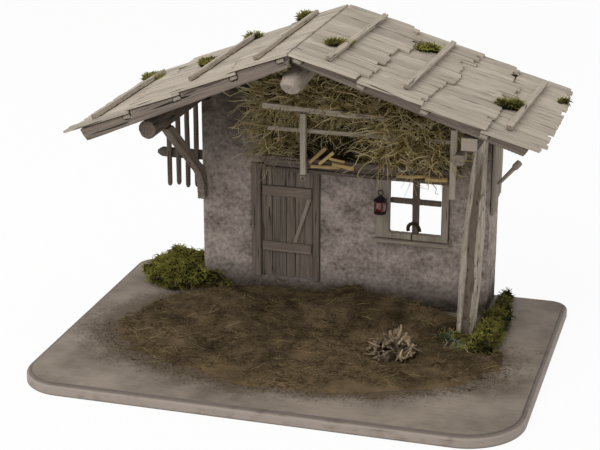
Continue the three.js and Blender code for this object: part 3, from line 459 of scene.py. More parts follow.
@once
def sheet_moss_dried(tree, shader):
    # Dried woodland moss: olive in the depths, yellow-green at the tips, quite matt
    plants = bpy.context.scene.stable_plants
    stalk_colours(tree, shader, plants.moss_dark, linear("#716B33"), plants.moss_pale, balance=0.55)


@once
def sheet_moss_shaded(tree, shader):
    # The same moss against the wall in darker colours, as painted shade: brown in its depths, dull olive at
    # the tips
    stalk_colours(tree, shader, linear("#231F10"), linear("#4B4722"), linear("#8A863C"), balance=0.6)


@once
def moss_depths(tree, shader):
    # The matted underside of the moss, nearly black where no light falls
    stalk_colours(tree, shader, linear("#15170A"), linear("#272A10"), linear("#3C4018"))


@once
def meadow_hay_dried(tree, shader):
    # Dried meadow grass: olive to straw colour, each stalk a little different
    plants = bpy.context.scene.stable_plants
    stalk_colours(tree, shader, plants.hay_dark, linear("#9E8C58"), plants.hay_pale, roughness=0.75)


@once
def hay_stems_pale(tree, shader):
    # Thick bleached stems that loop out of the hay
    plants = bpy.context.scene.stable_plants
    stalk_colours(tree, shader, linear("#8A7849"), linear("#BFAA74"), plants.hay_pale, roughness=0.7)


@once
def hay_painted_shade(tree, shader):
    # Painted shade for the pressed inside of the hay: near-black, seen only in the gaps between stalks
    stalk_colours(tree, shader, linear("#1E190E"), linear("#352D1A"), linear("#4E4427"))


@once
def straw_dried(tree, shader):
    # Loose bleached stalks that lie on the earth
    ground = bpy.context.scene.stable_ground
    stalk_colours(tree, shader, linear("#6E5D3D"), linear("#937F57"), ground.straw, roughness=0.7)


@once
def lichen_grey_green(tree, shader):
    # Reindeer lichen at the post: blue-grey green with pale tips
    stalk_colours(tree, shader, linear("#1D2620"), linear("#465647"), linear("#8E9A82"))


@once
def iron_blackened(tree, shader):
    # Forged iron with a black scale that has dulled
    scale = mottle(tree, own_place(tree), 1.2, detail=3.0)
    tint = ramp(tree, scale, (0.35, linear("#191716")), (0.65, linear("#3B3531")))
    coat(tree, shader, tint, 0.55, scale, 0.1)
    shader.inputs["Metallic"].default_value = 0.55


@once
def ruby_glass_cast(tree, shader):
    # Thick red glass, cast with small bubbles that show as uneven colour
    house = bpy.context.scene.stable_house
    bubbles = mottle(tree, own_place(tree), 2)
    coat(tree, shader, ramp(tree, bubbles, (0.3, linear("#4E0C10")), (0.7, house.glass)), 0.12)
    shader.inputs["Coat Weight"].default_value = 0.6


def seen_directly(tree):
    """1 where the camera sees a surface itself, in a gloss or through glass."""
    path = add(tree, "ShaderNodeLightPath").outputs
    either = reckon(tree, "MAXIMUM", path["Is Camera Ray"], path["Is Glossy Ray"])
    return reckon(tree, "MAXIMUM", either, path["Is Transmission Ray"])


@once
def painted_floor(tree, shader):
    # Matt paint on a studio floor, shown white with the object's shadow kept on it
    floor = bpy.context.scene.stable_stage.floor
    paint = ramp(tree, mottle(tree, own_place(tree), 4), (0.3, floor), (0.7, WHITE))
    matt = add(tree, "ShaderNodeBsdfDiffuse", {"Color": paint}).outputs[0]
    glow = add(tree, "ShaderNodeEmission", {"Color": WHITE, "Strength": 1.0}).outputs[0]
    share = reckon(tree, "MULTIPLY", seen_directly(tree), 0.93)
    mixed = add(tree, "ShaderNodeMixShader", {0: share, 1: matt, 2: glow}).outputs[0]
    tree.links.new(mixed, tree.nodes["Material Output"].inputs[0])
    tree.nodes.remove(shader)


# Shapes
class Shape:
    """Points, faces, grain and tone of one piece, gathered part by part."""

    def __init__(self):
        self.points = []
        self.faces = []
        self.finishes = []
        self.grain = []
        self.tones = []
        self.pith = []

    def add(self, points, faces, finishes, grain, tone, pith):
        first = len(self.points)
        self.points += points
        self.faces += [[first + index for index in face] for face in faces]
        self.finishes += finishes
        self.grain += grain
        self.tones += [tone] * len(points)
        self.pith += pith


def linked(name, data):
    """A new object with its data, in the scene."""
    item = bpy.data.objects.new(name, data)
    bpy.context.scene.collection.objects.link(item)
    return item


@contextmanager
def reshaped(mesh, source=None):
    """A mesh opened for editing, filled from another one if given, and closed at the end."""
    shell = bmesh.new()
    shell.from_mesh(source or mesh)
    yield shell
    shell.to_mesh(mesh)
    shell.free()


def points_of(mesh, field="co"):
    values = np.empty(len(mesh.vertices) * 3, np.float32)
    mesh.vertices.foreach_get(field, values)
    return values.reshape(-1, 3)


def move_points(mesh, places):
    mesh.vertices.foreach_set("co", places.ravel())


def store(mesh, name, kind, values):
    """Keeps a value for each point of a mesh, for its finish to read."""
    field = "vector" if kind == "FLOAT_VECTOR" else "value"
    data = mesh.attributes.new(name, kind, "POINT").data
    data.foreach_set(field, np.asarray(values, np.float32).ravel())


def settle(piece, slot, body="root", replaced=()):
    """Keeps a piece inside the solids' box and hangs it on its body."""
    margin = 0.1 * MM
    low = np.array(cad_low) + margin
    high = np.array(cad_high) - margin
    move_points(piece.data, np.clip(points_of(piece.data), low, high))
    piece.data.update()
    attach(piece, body)
    if replaced:
        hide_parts(*replaced)
    return piece


def made_from(shape, name, finishes, slot, body="root", replaced=()):
    """Turns a gathered shape into a piece."""
    mesh = bpy.data.meshes.new(name)
    mesh.from_pydata([Vector(point) * MM for point in shape.points], [], shape.faces)
    for finish in finishes:
        mesh.materials.append(finish)
    last = len(finishes) - 1
    mesh.polygons.foreach_set("material_index", [min(index, last) for index in shape.finishes])
    store(mesh, "grain", "FLOAT_VECTOR", shape.grain)
    store(mesh, "tone", "FLOAT", shape.tones)
    store(mesh, "pith", "FLOAT", shape.pith)
    with reshaped(mesh) as shell:
        bmesh.ops.recalc_face_normals(shell, faces=shell.faces)
    mesh.shade_smooth()
    mesh.set_sharp_from_angle(angle=SHARP_ANGLE)
    return settle(linked(name, mesh), slot, body, replaced)


def broken_end(rng, width, rough):
    """How far a board's lower end falls short, place by place across it, with steps and splits."""
    count = max(2, round(width / 3))
    profile = {}
    for index in range(count + 1):
        nudge = rng.uniform(-0.6, 0.6) if 0 < index < count else 0.0
        profile[width * index / count + nudge] = rng.uniform(0, 0.4 * rough)
    kind = rng.random()
    at = width * rng.uniform(0.25, 0.75)
    if kind < 0.4:
        drop = rng.uniform(0.5, 1.3) * rough
        profile = {place: short + (drop if place > at else 0) for place, short in profile.items()}
        profile[at] = 0.2 * rough
        profile[at + 0.3] = 0.2 * rough + drop
    elif kind < 0.7:
        depth = rng.uniform(1.2, 3.4) * rough
        half = rng.uniform(0.3, 0.7)
        profile[at - half] = 0.15 * rough
        profile[at] = depth
        profile[at + half] = 0.2 * rough
    return sorted(profile.items())


def split_board(shape, place, span, sides, thickness, rng, *, rough, rows, lift=0.0, tilt=0.0):
    """A split board: slightly cupped and twisted, its sides wavy and its lower end ragged.

    place turns a distance down the board, a place across and a height into a point."""
    start, end = span
    left, right = sides
    width = right - left
    profile = broken_end(rng, width, rough)
    shift = [rng.uniform(0, 3) for _ in range(3)]
    twist = rng.uniform(-0.02, 0.02)
    cup = rng.uniform(-0.25, 0.35)
    points = []
    grain = []
    for top in (1, 0):
        for across, short in profile:
            middle = 2 * across / width - 1
            for row in range(rows + 1):
                share = row / rows
                down = start + (end - short - start) * share
                sway = 0.4 * middle * noise.noise((down / 15, shift[0] * 9 + (middle > 0), 0.5))
                height = lift + tilt * (down - start) + twist * (across - width / 2) * share
                height += cup * middle * middle * share
                if top:
                    wear = 0.22 * noise.noise((down / 13, (left + across) / 4, shift[1] * 7))
                    height += thickness * (1 - 0.2 * share ** 8) + wear
                points.append(place(down, left + across + sway, height))
                grain.append((down * MM + shift[0], across * MM + shift[1], height * MM + shift[2]))
    columns = len(profile)
    layer = columns * (rows + 1)
    faces = []
    finishes = []

    def spot(level, column, row):
        return level * layer + column * (rows + 1) + row

    for column in range(columns - 1):
        for row in range(rows):
            for level in (0, 1):
                faces.append([spot(level, column, row), spot(level, column + 1, row),
                              spot(level, column + 1, row + 1), spot(level, column, row + 1)])
                finishes.append(0)
        for row in (0, rows):
            faces.append([spot(0, column, row), spot(0, column + 1, row),
                          spot(1, column + 1, row), spot(1, column, row)])
            finishes.append(1)
    for column in (0, columns - 1):
        for row in range(rows):
            faces.append([spot(0, column, row), spot(0, column, row + 1),
                          spot(1, column, row + 1), spot(1, column, row)])
            finishes.append(0)
    pith = [0.004 + abs(value[1] - shift[1]) for value in grain]
    shape.add(points, faces, finishes, grain, rng.random(), pith)


def squared(corner=0.14):
    """A square section with small flats at its corners, in shares of its width and depth."""
    half = 0.5
    inner = half - corner
    return [(inner, -half), (half, -inner), (half, inner), (inner, half),
            (-inner, half), (-half, inner), (-half, -inner), (-inner, -half)]


def round_section(count):
    """A circle as wide as one, of a number of points."""
    turn = 2 * math.pi / count
    return [(0.5 * math.cos(turn * index), 0.5 * math.sin(turn * index)) for index in range(count)]


def split_section():
    """A log split in half: a flat face and a round back."""
    count = 7
    turn = math.pi / (count - 1)
    return [(0.5 * math.cos(turn * index), 0.75 * math.sin(turn * index) - 0.3) for index in range(count)]


def ring_faces(rings, count, closed=False):
    """The faces between rings of points that follow one another."""
    faces = []
    for ring in range(rings if closed else rings - 1):
        following = (ring + 1) % rings
        for turn in range(count):
            step = (turn + 1) % count
            faces.append([ring * count + turn, ring * count + step,
                          following * count + step, following * count + turn])
    return faces


def swept(shape, path, outline, sizes, up, rng, rough=0.0, closed=False):
    """A stick along a path, its section an outline scaled to each place's width and depth."""
    path = [Vector(point) for point in path]
    if isinstance(sizes, tuple):
        sizes = [sizes] * len(path)
    count = len(outline)
    shift = [rng.uniform(0, 3) for _ in range(3)]
    points = []
    grain = []
    pith = []
    along = 0.0
    for index, centre in enumerate(path):
        after = path[(index + 1) % len(path)] if closed else path[min(index + 1, len(path) - 1)]
        before = path[index - 1] if closed or index else centre
        ahead = (after - before).normalized()
        side = ahead.cross(Vector(up)).normalized()
        above = side.cross(ahead)
        along += (centre - before).length if index else 0.0
        width, depth = sizes[index]
        for turn, (across, over) in enumerate(outline):
            worn = 1 - rough * (0.5 + 0.5 * noise.noise((along / 12, turn * 1.7, shift[0] * 11)))
            offset = side * across * width * worn + above * over * depth * worn
            points.append(tuple(centre + offset))
            grain.append((along * MM + shift[0], across * width * MM + shift[1],
                          over * depth * MM + shift[2]))
            pith.append(offset.length * MM)
    faces = ring_faces(len(path), count, closed)
    kinds = [0] * len(faces)
    if not closed:
        for ring in (0, len(path) - 1):
            centre_of = len(points)
            points.append(tuple(path[ring]))
            grain.append((along * MM + shift[0], shift[1], shift[2]))
            pith.append(0.0)
            for turn in range(count):
                faces.append([ring * count + turn, ring * count + (turn + 1) % count, centre_of])
                kinds.append(1)
    shape.add(points, faces, kinds, grain, rng.random(), pith)


def between(start, end, steps):
    """A straight path of a number of steps."""
    start = Vector(start)
    end = Vector(end)
    return [start.lerp(end, index / steps) for index in range(steps + 1)]


def hoop(x, y, z, radius, count):
    """The points of an upright ring that faces the front."""
    turn = 2 * math.pi / count
    return [(x + radius * math.cos(turn * step), y, z + radius * math.sin(turn * step))
            for step in range(count)]


def as_plain_mesh(piece):
    """Bakes a piece's modifiers into its mesh and takes them off."""
    graph = bpy.context.evaluated_depsgraph_get()
    mesh = bpy.data.meshes.new_from_object(piece.evaluated_get(graph), preserve_all_data_layers=True,
                                           depsgraph=graph)
    piece.modifiers.clear()
    piece.data = mesh
    return piece


def remeshed(piece, voxel):
    remesh = piece.modifiers.new("remesh", "REMESH")
    remesh.mode = "VOXEL"
    remesh.voxel_size = voxel * MM
    return as_plain_mesh(piece)


# What a copied solid keeps of its mesh's data
KEPT_ATTRIBUTES = ("position", ".edge_verts", ".corner_vert", ".corner_edge", "material_index", "sharp_face")


def copy_of(node):
    """A solid's mesh with its loose triangles joined up, as an object of its own."""
    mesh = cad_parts[node].data.copy()
    mesh.materials.clear()
    for name in [item.name for item in mesh.attributes if item.name not in KEPT_ATTRIBUTES]:
        mesh.attributes.remove(mesh.attributes[name])
    with reshaped(mesh) as shell:
        bmesh.ops.remove_doubles(shell, verts=shell.verts, dist=0.005 * MM)
    return linked("worn_" + node, mesh)


# Weathered timber: how long and how far apart its worn streaks and its cracks are
STREAK_LENGTH = 22.0
STREAK_WIDTH = 2.4
CRACK_LENGTH = 38.0
CRACK_SPACING = 4.5


def worn_copy(node, along, slot, finish, ends=None, *, seed, voxel=1.1, relief=0.35, crack=0.7,
              body="root"):
    """A solid's own form in weathered wood: rounded by wear, with cracks along the grain."""
    piece = remeshed(copy_of(node), voxel)
    mesh = piece.data
    ahead = Vector(along).normalized()
    side = ahead.cross(Vector((0.31, 0.52, 0.79))).normalized()
    basis = np.array([ahead, side, ahead.cross(side)])
    places = points_of(mesh)
    middle = (places.min(0) + places.max(0)) / 2
    own = (places - middle) @ basis.T / MM
    depth = np.empty(len(own))
    for index, (down, across, over) in enumerate(own.tolist()):
        streak = noise.noise((down / STREAK_LENGTH + seed, across / STREAK_WIDTH, over / STREAK_WIDTH))
        check = noise.noise((down / CRACK_LENGTH + 5 * seed, across / CRACK_SPACING,
                             over / CRACK_SPACING + 9))
        worn = 0.5 + 0.5 * streak
        depth[index] = 0.1 + relief * worn + crack * max(0.0, 1 - abs(check) / 0.05)
    move_points(mesh, places - points_of(mesh, "normal") * depth[:, None] * MM)
    store(mesh, "grain", "FLOAT_VECTOR", own * MM + np.array([seed * 0.37, seed * 0.61, seed * 0.23]))
    store(mesh, "tone", "FLOAT", np.full(len(own), noise.noise((seed * 3.3, 0.5, 0.5)) * 0.5 + 0.5))
    store(mesh, "pith", "FLOAT", np.hypot(own[:, 1], own[:, 2]) * MM)
    mesh.materials.append(finish)
    mesh.materials.append(ends or finish)
    facing = np.empty(len(mesh.polygons) * 3, np.float32)
    mesh.polygons.foreach_get("normal", facing)
    across_grain = np.abs(facing.reshape(-1, 3) @ np.array(ahead)) > 0.8
    mesh.polygons.foreach_set("material_index", across_grain.astype(np.int32))
    mesh.shade_smooth()
    return settle(piece, slot, body, [node])


# Plaster: the width of its swells and of the trowel's dabs
SWELL_SIZE = 17.0
DAB_SIZE = 5.5


def plastered_copy(node, seed, facing):
    """A wall's own form under trowelled plaster, uneven on its broad faces (0 is X, 1 is Y)."""
    relief = bpy.context.scene.stable_house.relief / MM
    piece = remeshed(copy_of(node), 2.0)
    mesh = piece.data
    places = points_of(mesh)
    normals = points_of(mesh, "normal")
    depth = np.empty(len(places))
    for index, (x, y, z) in enumerate((places / MM).tolist()):
        swell = noise.noise((x / SWELL_SIZE + seed, y / SWELL_SIZE, z / SWELL_SIZE))
        dabs = noise.noise((x / DAB_SIZE, y / DAB_SIZE + seed, z / DAB_SIZE))
        broad = abs(float(normals[index][facing])) ** 2
        trowelled = 0.1 + relief * (1 + 0.6 * swell + 0.4 * dabs) / 2
        depth[index] = broad * trowelled - (1 - broad) * JOINT
    move_points(mesh, places - normals * depth[:, None] * MM)
    mesh.materials.append(lime_plaster_trowelled())
    mesh.shade_smooth()
    return settle(piece, "plaster", "root", [node])


# Masses, and what grows or lies on them
def heaved(piece, *, voxel, heave, size, seed):
    """Remeshes a mass and wears lumps of a given height and size into it."""
    remeshed(piece, voxel)
    mesh = piece.data
    places = points_of(mesh)
    depth = np.empty(len(places))
    for index, (x, y, z) in enumerate((places / MM).tolist()):
        lump = noise.noise((x / size + seed, y / size, z / size))
        small = noise.noise((3 * x / size, 3 * y / size + seed, 3 * z / size))
        depth[index] = heave * (0.65 * lump + 0.35 * small - 1) / 2
    move_points(mesh, places + points_of(mesh, "normal") * depth[:, None] * MM)
    store(mesh, "tone", "FLOAT", np.full(len(places), 0.3))
    mesh.update()
    mesh.shade_smooth()
    return piece


def lumps(name, places):
    """A mass of overlapping ellipsoids, each a centre and three half widths."""
    mesh = bpy.data.meshes.new(name)
    with reshaped(mesh) as shell:
        for x, y, z, width, depth, height in places:
            centre = Matrix.Translation(Vector((x, y, z)) * MM)
            spread = Matrix.Diagonal((width * MM, depth * MM, height * MM, 1))
            bmesh.ops.create_icosphere(shell, subdivisions=3, radius=1.0, matrix=centre @ spread)
    return linked(name, mesh)


def matted(piece, name, finish, slot, replaced=()):
    """Names and dresses a mass before anything grows on it."""
    piece.name = name
    piece.data.materials.append(finish)
    return settle(piece, slot, "root", replaced)


def part_of(piece, keep):
    """The faces of a piece whose centre in millimetres and normal pass a test, as a loose surface."""
    mesh = bpy.data.meshes.new("part")
    with reshaped(mesh, piece.data) as shell:
        unwanted = [face for face in shell.faces if not keep(face.calc_center_median() / MM, face.normal)]
        bmesh.ops.delete(shell, geom=unwanted, context="FACES")
    return mesh


def tree_with(name, sockets):
    """An empty Geometry Nodes tree with named inputs; gives the tree and its inputs."""
    tree = bpy.data.node_groups.new(name, "GeometryNodeTree")
    tree.interface.new_socket("Surface", in_out="INPUT", socket_type="NodeSocketGeometry")
    for label, kind in sockets.items():
        tree.interface.new_socket(label, in_out="INPUT", socket_type="NodeSocket" + kind)
    tree.interface.new_socket("Result", in_out="OUTPUT", socket_type="NodeSocketGeometry")
    return tree, add(tree, "NodeGroupInput").outputs


def random_number(tree, low, high, seed):
    inputs = {2: low, 3: high, "Seed": seed}
    return add(tree, "FunctionNodeRandomValue", inputs, data_type="FLOAT").outputs[1]


def random_vector(tree, low, high, seed):
    inputs = {0: low, 1: high, "Seed": seed}
    return add(tree, "FunctionNodeRandomValue", inputs, data_type="FLOAT_VECTOR").outputs[0]


def marked(tree, geometry, name, value, kind="FLOAT", domain="INSTANCE"):
    """Geometry that keeps a value for each of its parts, under a name."""
    inputs = {"Geometry": geometry, "Name": name, "Value": value}
    return add(tree, "GeometryNodeStoreNamedAttribute", inputs, data_type=kind, domain=domain).outputs[0]


def random_points(tree, given):
    """Random points on the surface, with its normals there."""
    inputs = {"Mesh": given["Surface"], "Density": given["Density"], "Seed": given["Seed"]}
    return add(tree, "GeometryNodeDistributePointsOnFaces", inputs).outputs


def strewn(tree, points, form, rotation, size, seed):
    """A form set on every point, each time with a shade of its own."""
    inputs = {"Points": points["Points"], "Instance": form, "Rotation": rotation, "Scale": size}
    placed = add(tree, "GeometryNodeInstanceOnPoints", inputs).outputs[0]
    return marked(tree, placed, "tone", random_number(tree, 0.0, 1.0, seed))


def finished(tree, given, geometry):
    """Dresses what a tree has made and ends the tree."""
    inputs = {"Geometry": geometry, "Material": given["Finish"]}
    add(tree, "NodeGroupOutput", {0: add(tree, "GeometryNodeSetMaterial", inputs).outputs[0]})
    return tree


def stalk_tree():
    """Stalks that grow from a surface, each bent its own way, thinner to the tip."""
    if "stalks" in bpy.data.node_groups:
        return bpy.data.node_groups["stalks"]
    tree, given = tree_with("stalks", {
        "Density": "Float", "Shortest": "Float", "Longest": "Float", "Thickness": "Float",
        "Stand": "Float", "Reach": "Vector", "Bend": "Float", "Bend Size": "Float",
        "Droop": "Float", "Joints": "Int", "Seed": "Int", "Finish": "Material",
    })
    seed = given["Seed"]
    points = random_points(tree, given)
    any_way = random_vector(tree, (-1, -1, -1), (1, 1, 1), seed)
    aside = reckon_vector(tree, "MULTIPLY", any_way, given["Reach"])
    upright = reckon_vector(tree, "SCALE", points["Normal"], given["Stand"])
    aim = reckon_vector(tree, "ADD", aside, upright)
    turned = add(tree, "FunctionNodeAlignRotationToVector", {"Vector": aim}, axis="Z").outputs[0]
    line = add(tree, "GeometryNodeCurvePrimitiveLine", {"End": (0, 0, 1)}).outputs[0]
    jointed = add(tree, "GeometryNodeResampleCurve", {"Curve": line, "Count": given["Joints"]}).outputs[0]
    length = random_number(tree, given["Shortest"], given["Longest"], seed)
    toned = strewn(tree, points, jointed, turned, length, seed)
    shifted = marked(tree, toned, "shift", random_vector(tree, (0, 0, 0), (9, 9, 9), seed), "FLOAT_VECTOR")
    real = add(tree, "GeometryNodeRealizeInstances", {0: shifted}).outputs[0]
    along = add(tree, "GeometryNodeSplineParameter").outputs["Factor"]
    named = add(tree, "GeometryNodeInputNamedAttribute", {"Name": "shift"}, data_type="FLOAT_VECTOR")
    spot = add(tree, "GeometryNodeInputPosition").outputs[0]
    scaled = reckon_vector(tree, "DIVIDE", spot, given["Bend Size"])
    sought = reckon_vector(tree, "ADD", scaled, named.outputs[0])
    inputs = {"Vector": sought, "Scale": 1.0, "Detail": 1.0}
    wander = add(tree, "ShaderNodeTexNoise", inputs).outputs["Color"]
    centred = reckon_vector(tree, "SUBTRACT", wander, (0.5, 0.5, 0.5))
    bent = reckon_vector(tree, "SCALE", centred, reckon(tree, "MULTIPLY", along, given["Bend"]))
    fall = reckon(tree, "MULTIPLY", reckon(tree, "MULTIPLY", along, along), given["Droop"])
    moved = reckon_vector(tree, "ADD", bent, reckon_vector(tree, "SCALE", (0, 0, -1), fall))
    placed = add(tree, "GeometryNodeSetPosition", {"Geometry": real, "Offset": moved}).outputs[0]
    tipped = marked(tree, placed, "tip", along, domain="POINT")
    thick = reckon(tree, "MULTIPLY", remap(tree, along, 0.0, 1.0, 1.0, 0.35), given["Thickness"])
    ring = add(tree, "GeometryNodeCurvePrimitiveCircle", {"Resolution": 3, "Radius": 0.5}).outputs[0]
    inputs = {"Curve": tipped, "Profile Curve": ring, "Scale": thick}
    return finished(tree, given, add(tree, "GeometryNodeCurveToMesh", inputs).outputs[0])


def crumb_tree():
    """Crumbs and chips that lie on a surface, each stretched and turned its own way."""
    if "crumbs" in bpy.data.node_groups:
        return bpy.data.node_groups["crumbs"]
    tree, given = tree_with("crumbs", {
        "Density": "Float", "Smallest": "Vector", "Largest": "Vector", "Seed": "Int", "Finish": "Material",
    })
    seed = given["Seed"]
    any_way = random_vector(tree, (-3, -3, -3), (3, 3, 3), seed)
    crumb = add(tree, "GeometryNodeMeshIcoSphere", {"Radius": 0.5, "Subdivisions": 1}).outputs[0]
    size = random_vector(tree, given["Smallest"], given["Largest"], seed)
    toned = strewn(tree, random_points(tree, given), crumb, any_way, size, seed)
    return finished(tree, given, add(tree, "GeometryNodeRealizeInstances", {0: toned}).outputs[0])


def grown_on(surface, name, tree, slot, **values):
    """Runs a tree over a loose surface and keeps what it makes as a plain piece."""
    piece = linked(name, surface)
    modifier = piece.modifiers.new(name, "NODES")
    modifier.node_group = tree
    sockets = [item for item in tree.interface.items_tree if item.in_out == "INPUT"]
    identifiers = {socket.name: socket.identifier for socket in sockets}
    for label, value in values.items():
        modifier[identifiers[label.replace("_", " ")]] = value
    as_plain_mesh(piece)
    piece.data.shade_smooth()
    return settle(piece, slot)


def stalks_on(surface, name, finish, slot, *, density, lengths, thickness, stand, reach, bend, seed,
              droop=0.0, joints=6, bend_size=18.0):
    """Stalks on a surface: density to the square centimetre, the rest in millimetres."""
    return grown_on(
        surface, name, stalk_tree(), slot, Density=density * 1e4, Shortest=lengths[0] * MM,
        Longest=lengths[1] * MM, Thickness=thickness * MM, Stand=float(stand), Reach=reach,
        Bend=bend * MM, Bend_Size=bend_size * MM, Droop=droop * MM, Joints=joints, Seed=seed, Finish=finish,
    )


def crumbs_on(surface, name, *, density, smallest, largest, seed):
    """Crumbs of peat on a surface: density to the square centimetre, sizes in millimetres."""
    return grown_on(
        surface, name, crumb_tree(), "earth", Density=density * 1e4, Smallest=[v * MM for v in smallest],
        Largest=[v * MM for v in largest], Seed=seed, Finish=peat_sieved(),
    )


# Stage, with its lengths in metres
FLOOR_REACH = 6.0
KEY_LAMP_PLACE = (-0.9, -1.3, 2.1)
KEY_LAMP_TARGET = Vector((0, 0, 0.12))
KEY_LAMP_SIZE = (1.8, 1.4)
CAMERA_PLACE = (0.41867, -1.45503, 0.66827)
CAMERA_TURN = (math.radians(70.471), 0, math.radians(16.268))
CAMERA_LENS = 98.87


def build_stage():
    corners = [(x * FLOOR_REACH, y * FLOOR_REACH, 0) for x, y in ((-1, -1), (1, -1), (1, 1), (-1, 1))]
    floor = bpy.data.meshes.new("floor")
    floor.from_pydata(corners, [], [[0, 1, 2, 3]])
    floor.materials.append(painted_floor())
    linked("floor", floor)
    light_the_room()
    lens = bpy.data.cameras.new("camera")
    lens.sensor_width = 36.0
    lens.lens = CAMERA_LENS
    camera = linked("camera", lens)
    camera.location = CAMERA_PLACE
    camera.rotation_euler = CAMERA_TURN
    bpy.context.scene.camera = camera
    bpy.context.scene.view_settings.view_transform = "Standard"


def light_the_room():
    """A soft light all round, shown white to the camera, and one large lamp."""
    settings = bpy.context.scene.stable_stage
    world = bpy.data.worlds.new("room")
    world.use_nodes = True
    bpy.context.scene.world = world
    tree = world.node_tree
    tree.nodes.clear()
    soft = add(tree, "ShaderNodeBackground", {"Color": WHITE, "Strength": settings.sky}).outputs[0]
    white = add(tree, "ShaderNodeBackground", {"Color": WHITE, "Strength": 1.0}).outputs[0]
    mixed = add(tree, "ShaderNodeMixShader", {0: seen_directly(tree), 1: soft, 2: white}).outputs[0]
    add(tree, "ShaderNodeOutputWorld", {0: mixed})
    key = bpy.data.lights.new("key", "AREA")
    key.shape = "RECTANGLE"
    key.size, key.size_y = KEY_LAMP_SIZE
    key.energy = settings.key
    lamp = linked("key", key)
    lamp.location = KEY_LAMP_PLACE
    aim = KEY_LAMP_TARGET - lamp.location
    lamp.rotation_euler = aim.to_track_quat("-Z", "Y").to_euler()


# Base board and ground
def board_outline(inset, z):
    """The base board's outline drawn in by an inset, its corners rounded from the front right on."""
    steps = 20
    signs = [(1, -1), (1, 1), (-1, 1), (-1, -1)]
    ring = []
    for quarter, ((sx, sy), radius) in enumerate(zip(signs, BASE_CORNER_RADII)):
        own = radius - inset
        x = sx * (BASE_HALF_WIDTH - radius)
        y = sy * (BASE_HALF_DEPTH - radius)
        for step in range(steps + 1):
            angle = math.pi / 2 * (quarter - 1 + step / steps)
            ring.append((x + own * math.cos(angle), y + own * math.sin(angle), z))
    return ring


def build_base_board():
    """The routed board as rings, each an inset and a height: a round, then a groove below the top."""
    radius = 3.6
    turns = [step / 8 * math.pi / 2 for step in range(9)]
    profile = [(0.7, 0.1), (0.1, 0.8)]
    profile += [(0.1 + radius * (1 - math.cos(turn)), 7.0 + radius * math.sin(turn)) for turn in turns]
    profile += [(4.6, 10.55), (4.9, 10.2), (5.2, 10.6), (5.4, 11.6), (5.8, 11.9)]
    rings = [board_outline(inset, z) for inset, z in profile]
    count = len(rings[0])
    points = [point for ring in rings for point in ring]
    faces = ring_faces(len(rings), count)
    faces.append(list(range(count)))
    faces.append(list(range((len(rings) - 1) * count, len(rings) * count)))
    finishes = [0] * (len(faces) - 1) + [1]
    shape = Shape()
    grain = [(x * MM, y * MM, z * MM) for x, y, z in points]
    shape.add(points, faces, finishes, grain, 0.5, [0.0] * len(points))
    made_from(shape, "routed_board", [base_rim_routed(), base_board_stained()], "bare_board",
              replaced=["base_board"])


def feather(piece):
    """Thins the earth to nothing along an uneven line inside its edge, and lowers its humps."""
    mesh = piece.data
    places = points_of(mesh) / MM
    bottom = BASE_TOP - 0.4
    shoulder = BASE_TOP + 15
    for index, (x, y, z) in enumerate(places.tolist()):
        away = math.hypot(x / EARTH_REACH[0], (y - EARTH_CENTRE_Y) / EARTH_REACH[1])
        uneven = 0.09 * noise.noise((x / 34, y / 34, 1.5)) + 0.04 * noise.noise((x / 9, y / 9, 4.5))
        inside = max(0.0, min(1.0, (0.985 + uneven - away) / 0.09))
        indoors = max(0.0, min(1.0, (y - 40) / 30))
        share = max(inside * inside * (3 - 2 * inside), indoors)
        lowered = min(z, shoulder + 0.35 * (z - shoulder))
        places[index][2] = bottom + (lowered - bottom) * share
    move_points(mesh, places * MM)
    mesh.update()


def ring_of_ground(inner, outer):
    """A flat ring on the board round the earth's front, in shares of the earth's reach."""
    steps = 60
    points = []
    for share in (inner, outer):
        for step in range(steps + 1):
            angle = math.pi * (1 + step / steps)
            x = EARTH_REACH[0] * share * math.cos(angle)
            y = EARTH_CENTRE_Y + EARTH_REACH[1] * share * math.sin(angle)
            points.append(Vector((x, y, BASE_TOP + 0.1)) * MM)
    faces = [[step, step + 1, steps + 2 + step, steps + 1 + step] for step in range(steps)]
    mesh = bpy.data.meshes.new("ring")
    mesh.from_pydata(points, [], faces)
    return mesh


def build_ground():
    crumb = bpy.context.scene.stable_ground.crumb / MM
    largest = (crumb, crumb, 0.6 * crumb)
    spread = heaved(copy_of("earth_layer"), voxel=2.0, heave=1.4, size=9.0, seed=4)
    feather(spread)
    matted(spread, "earth_spread", peat_sieved(), "earth", ["earth_layer"])
    top = part_of(spread, lambda centre, normal: normal.z > 0.3 and centre.y < WALL_Y
                  and centre.z > BASE_TOP + 0.3)
    crumbs_on(top.copy(), "earth_crumbs", density=11, smallest=(0.4, 0.4, 0.3), largest=largest, seed=5)
    stalks_on(top.copy(), "earth_fibres", peat_fibre(), "earth", density=16, lengths=(3, 11),
              thickness=0.55, stand=0.12, reach=(1, 1, 0.12), bend=7, joints=4, seed=8)
    stalks_on(top, "loose_straw", straw_dried(), "hay", density=0.4, lengths=(6, 20),
              thickness=0.7, stand=0.1, reach=(1, 1, 0.05), bend=14, joints=7, seed=11)
    for number, (inner, outer, density) in enumerate([(0.88, 1.0, 20), (0.97, 1.07, 9), (1.05, 1.2, 2.2)]):
        crumbs_on(ring_of_ground(inner, outer), f"scattered_crumbs_{number + 1}", density=density,
                  smallest=(0.3, 0.3, 0.2), largest=largest, seed=6 + number)
    stalks_on(ring_of_ground(0.88, 1.06), "scattered_fibres", peat_fibre(), "earth", density=8,
              lengths=(3, 9), thickness=0.5, stand=0.1, reach=(1, 1, 0.05), bend=6, joints=4, seed=14)


# How moss grows on the ground
MOSS_HABIT = {"lengths": (2, 9), "stand": 0.8, "reach": (1, 1, 0.6), "bend": 8, "joints": 4, "bend_size": 7}


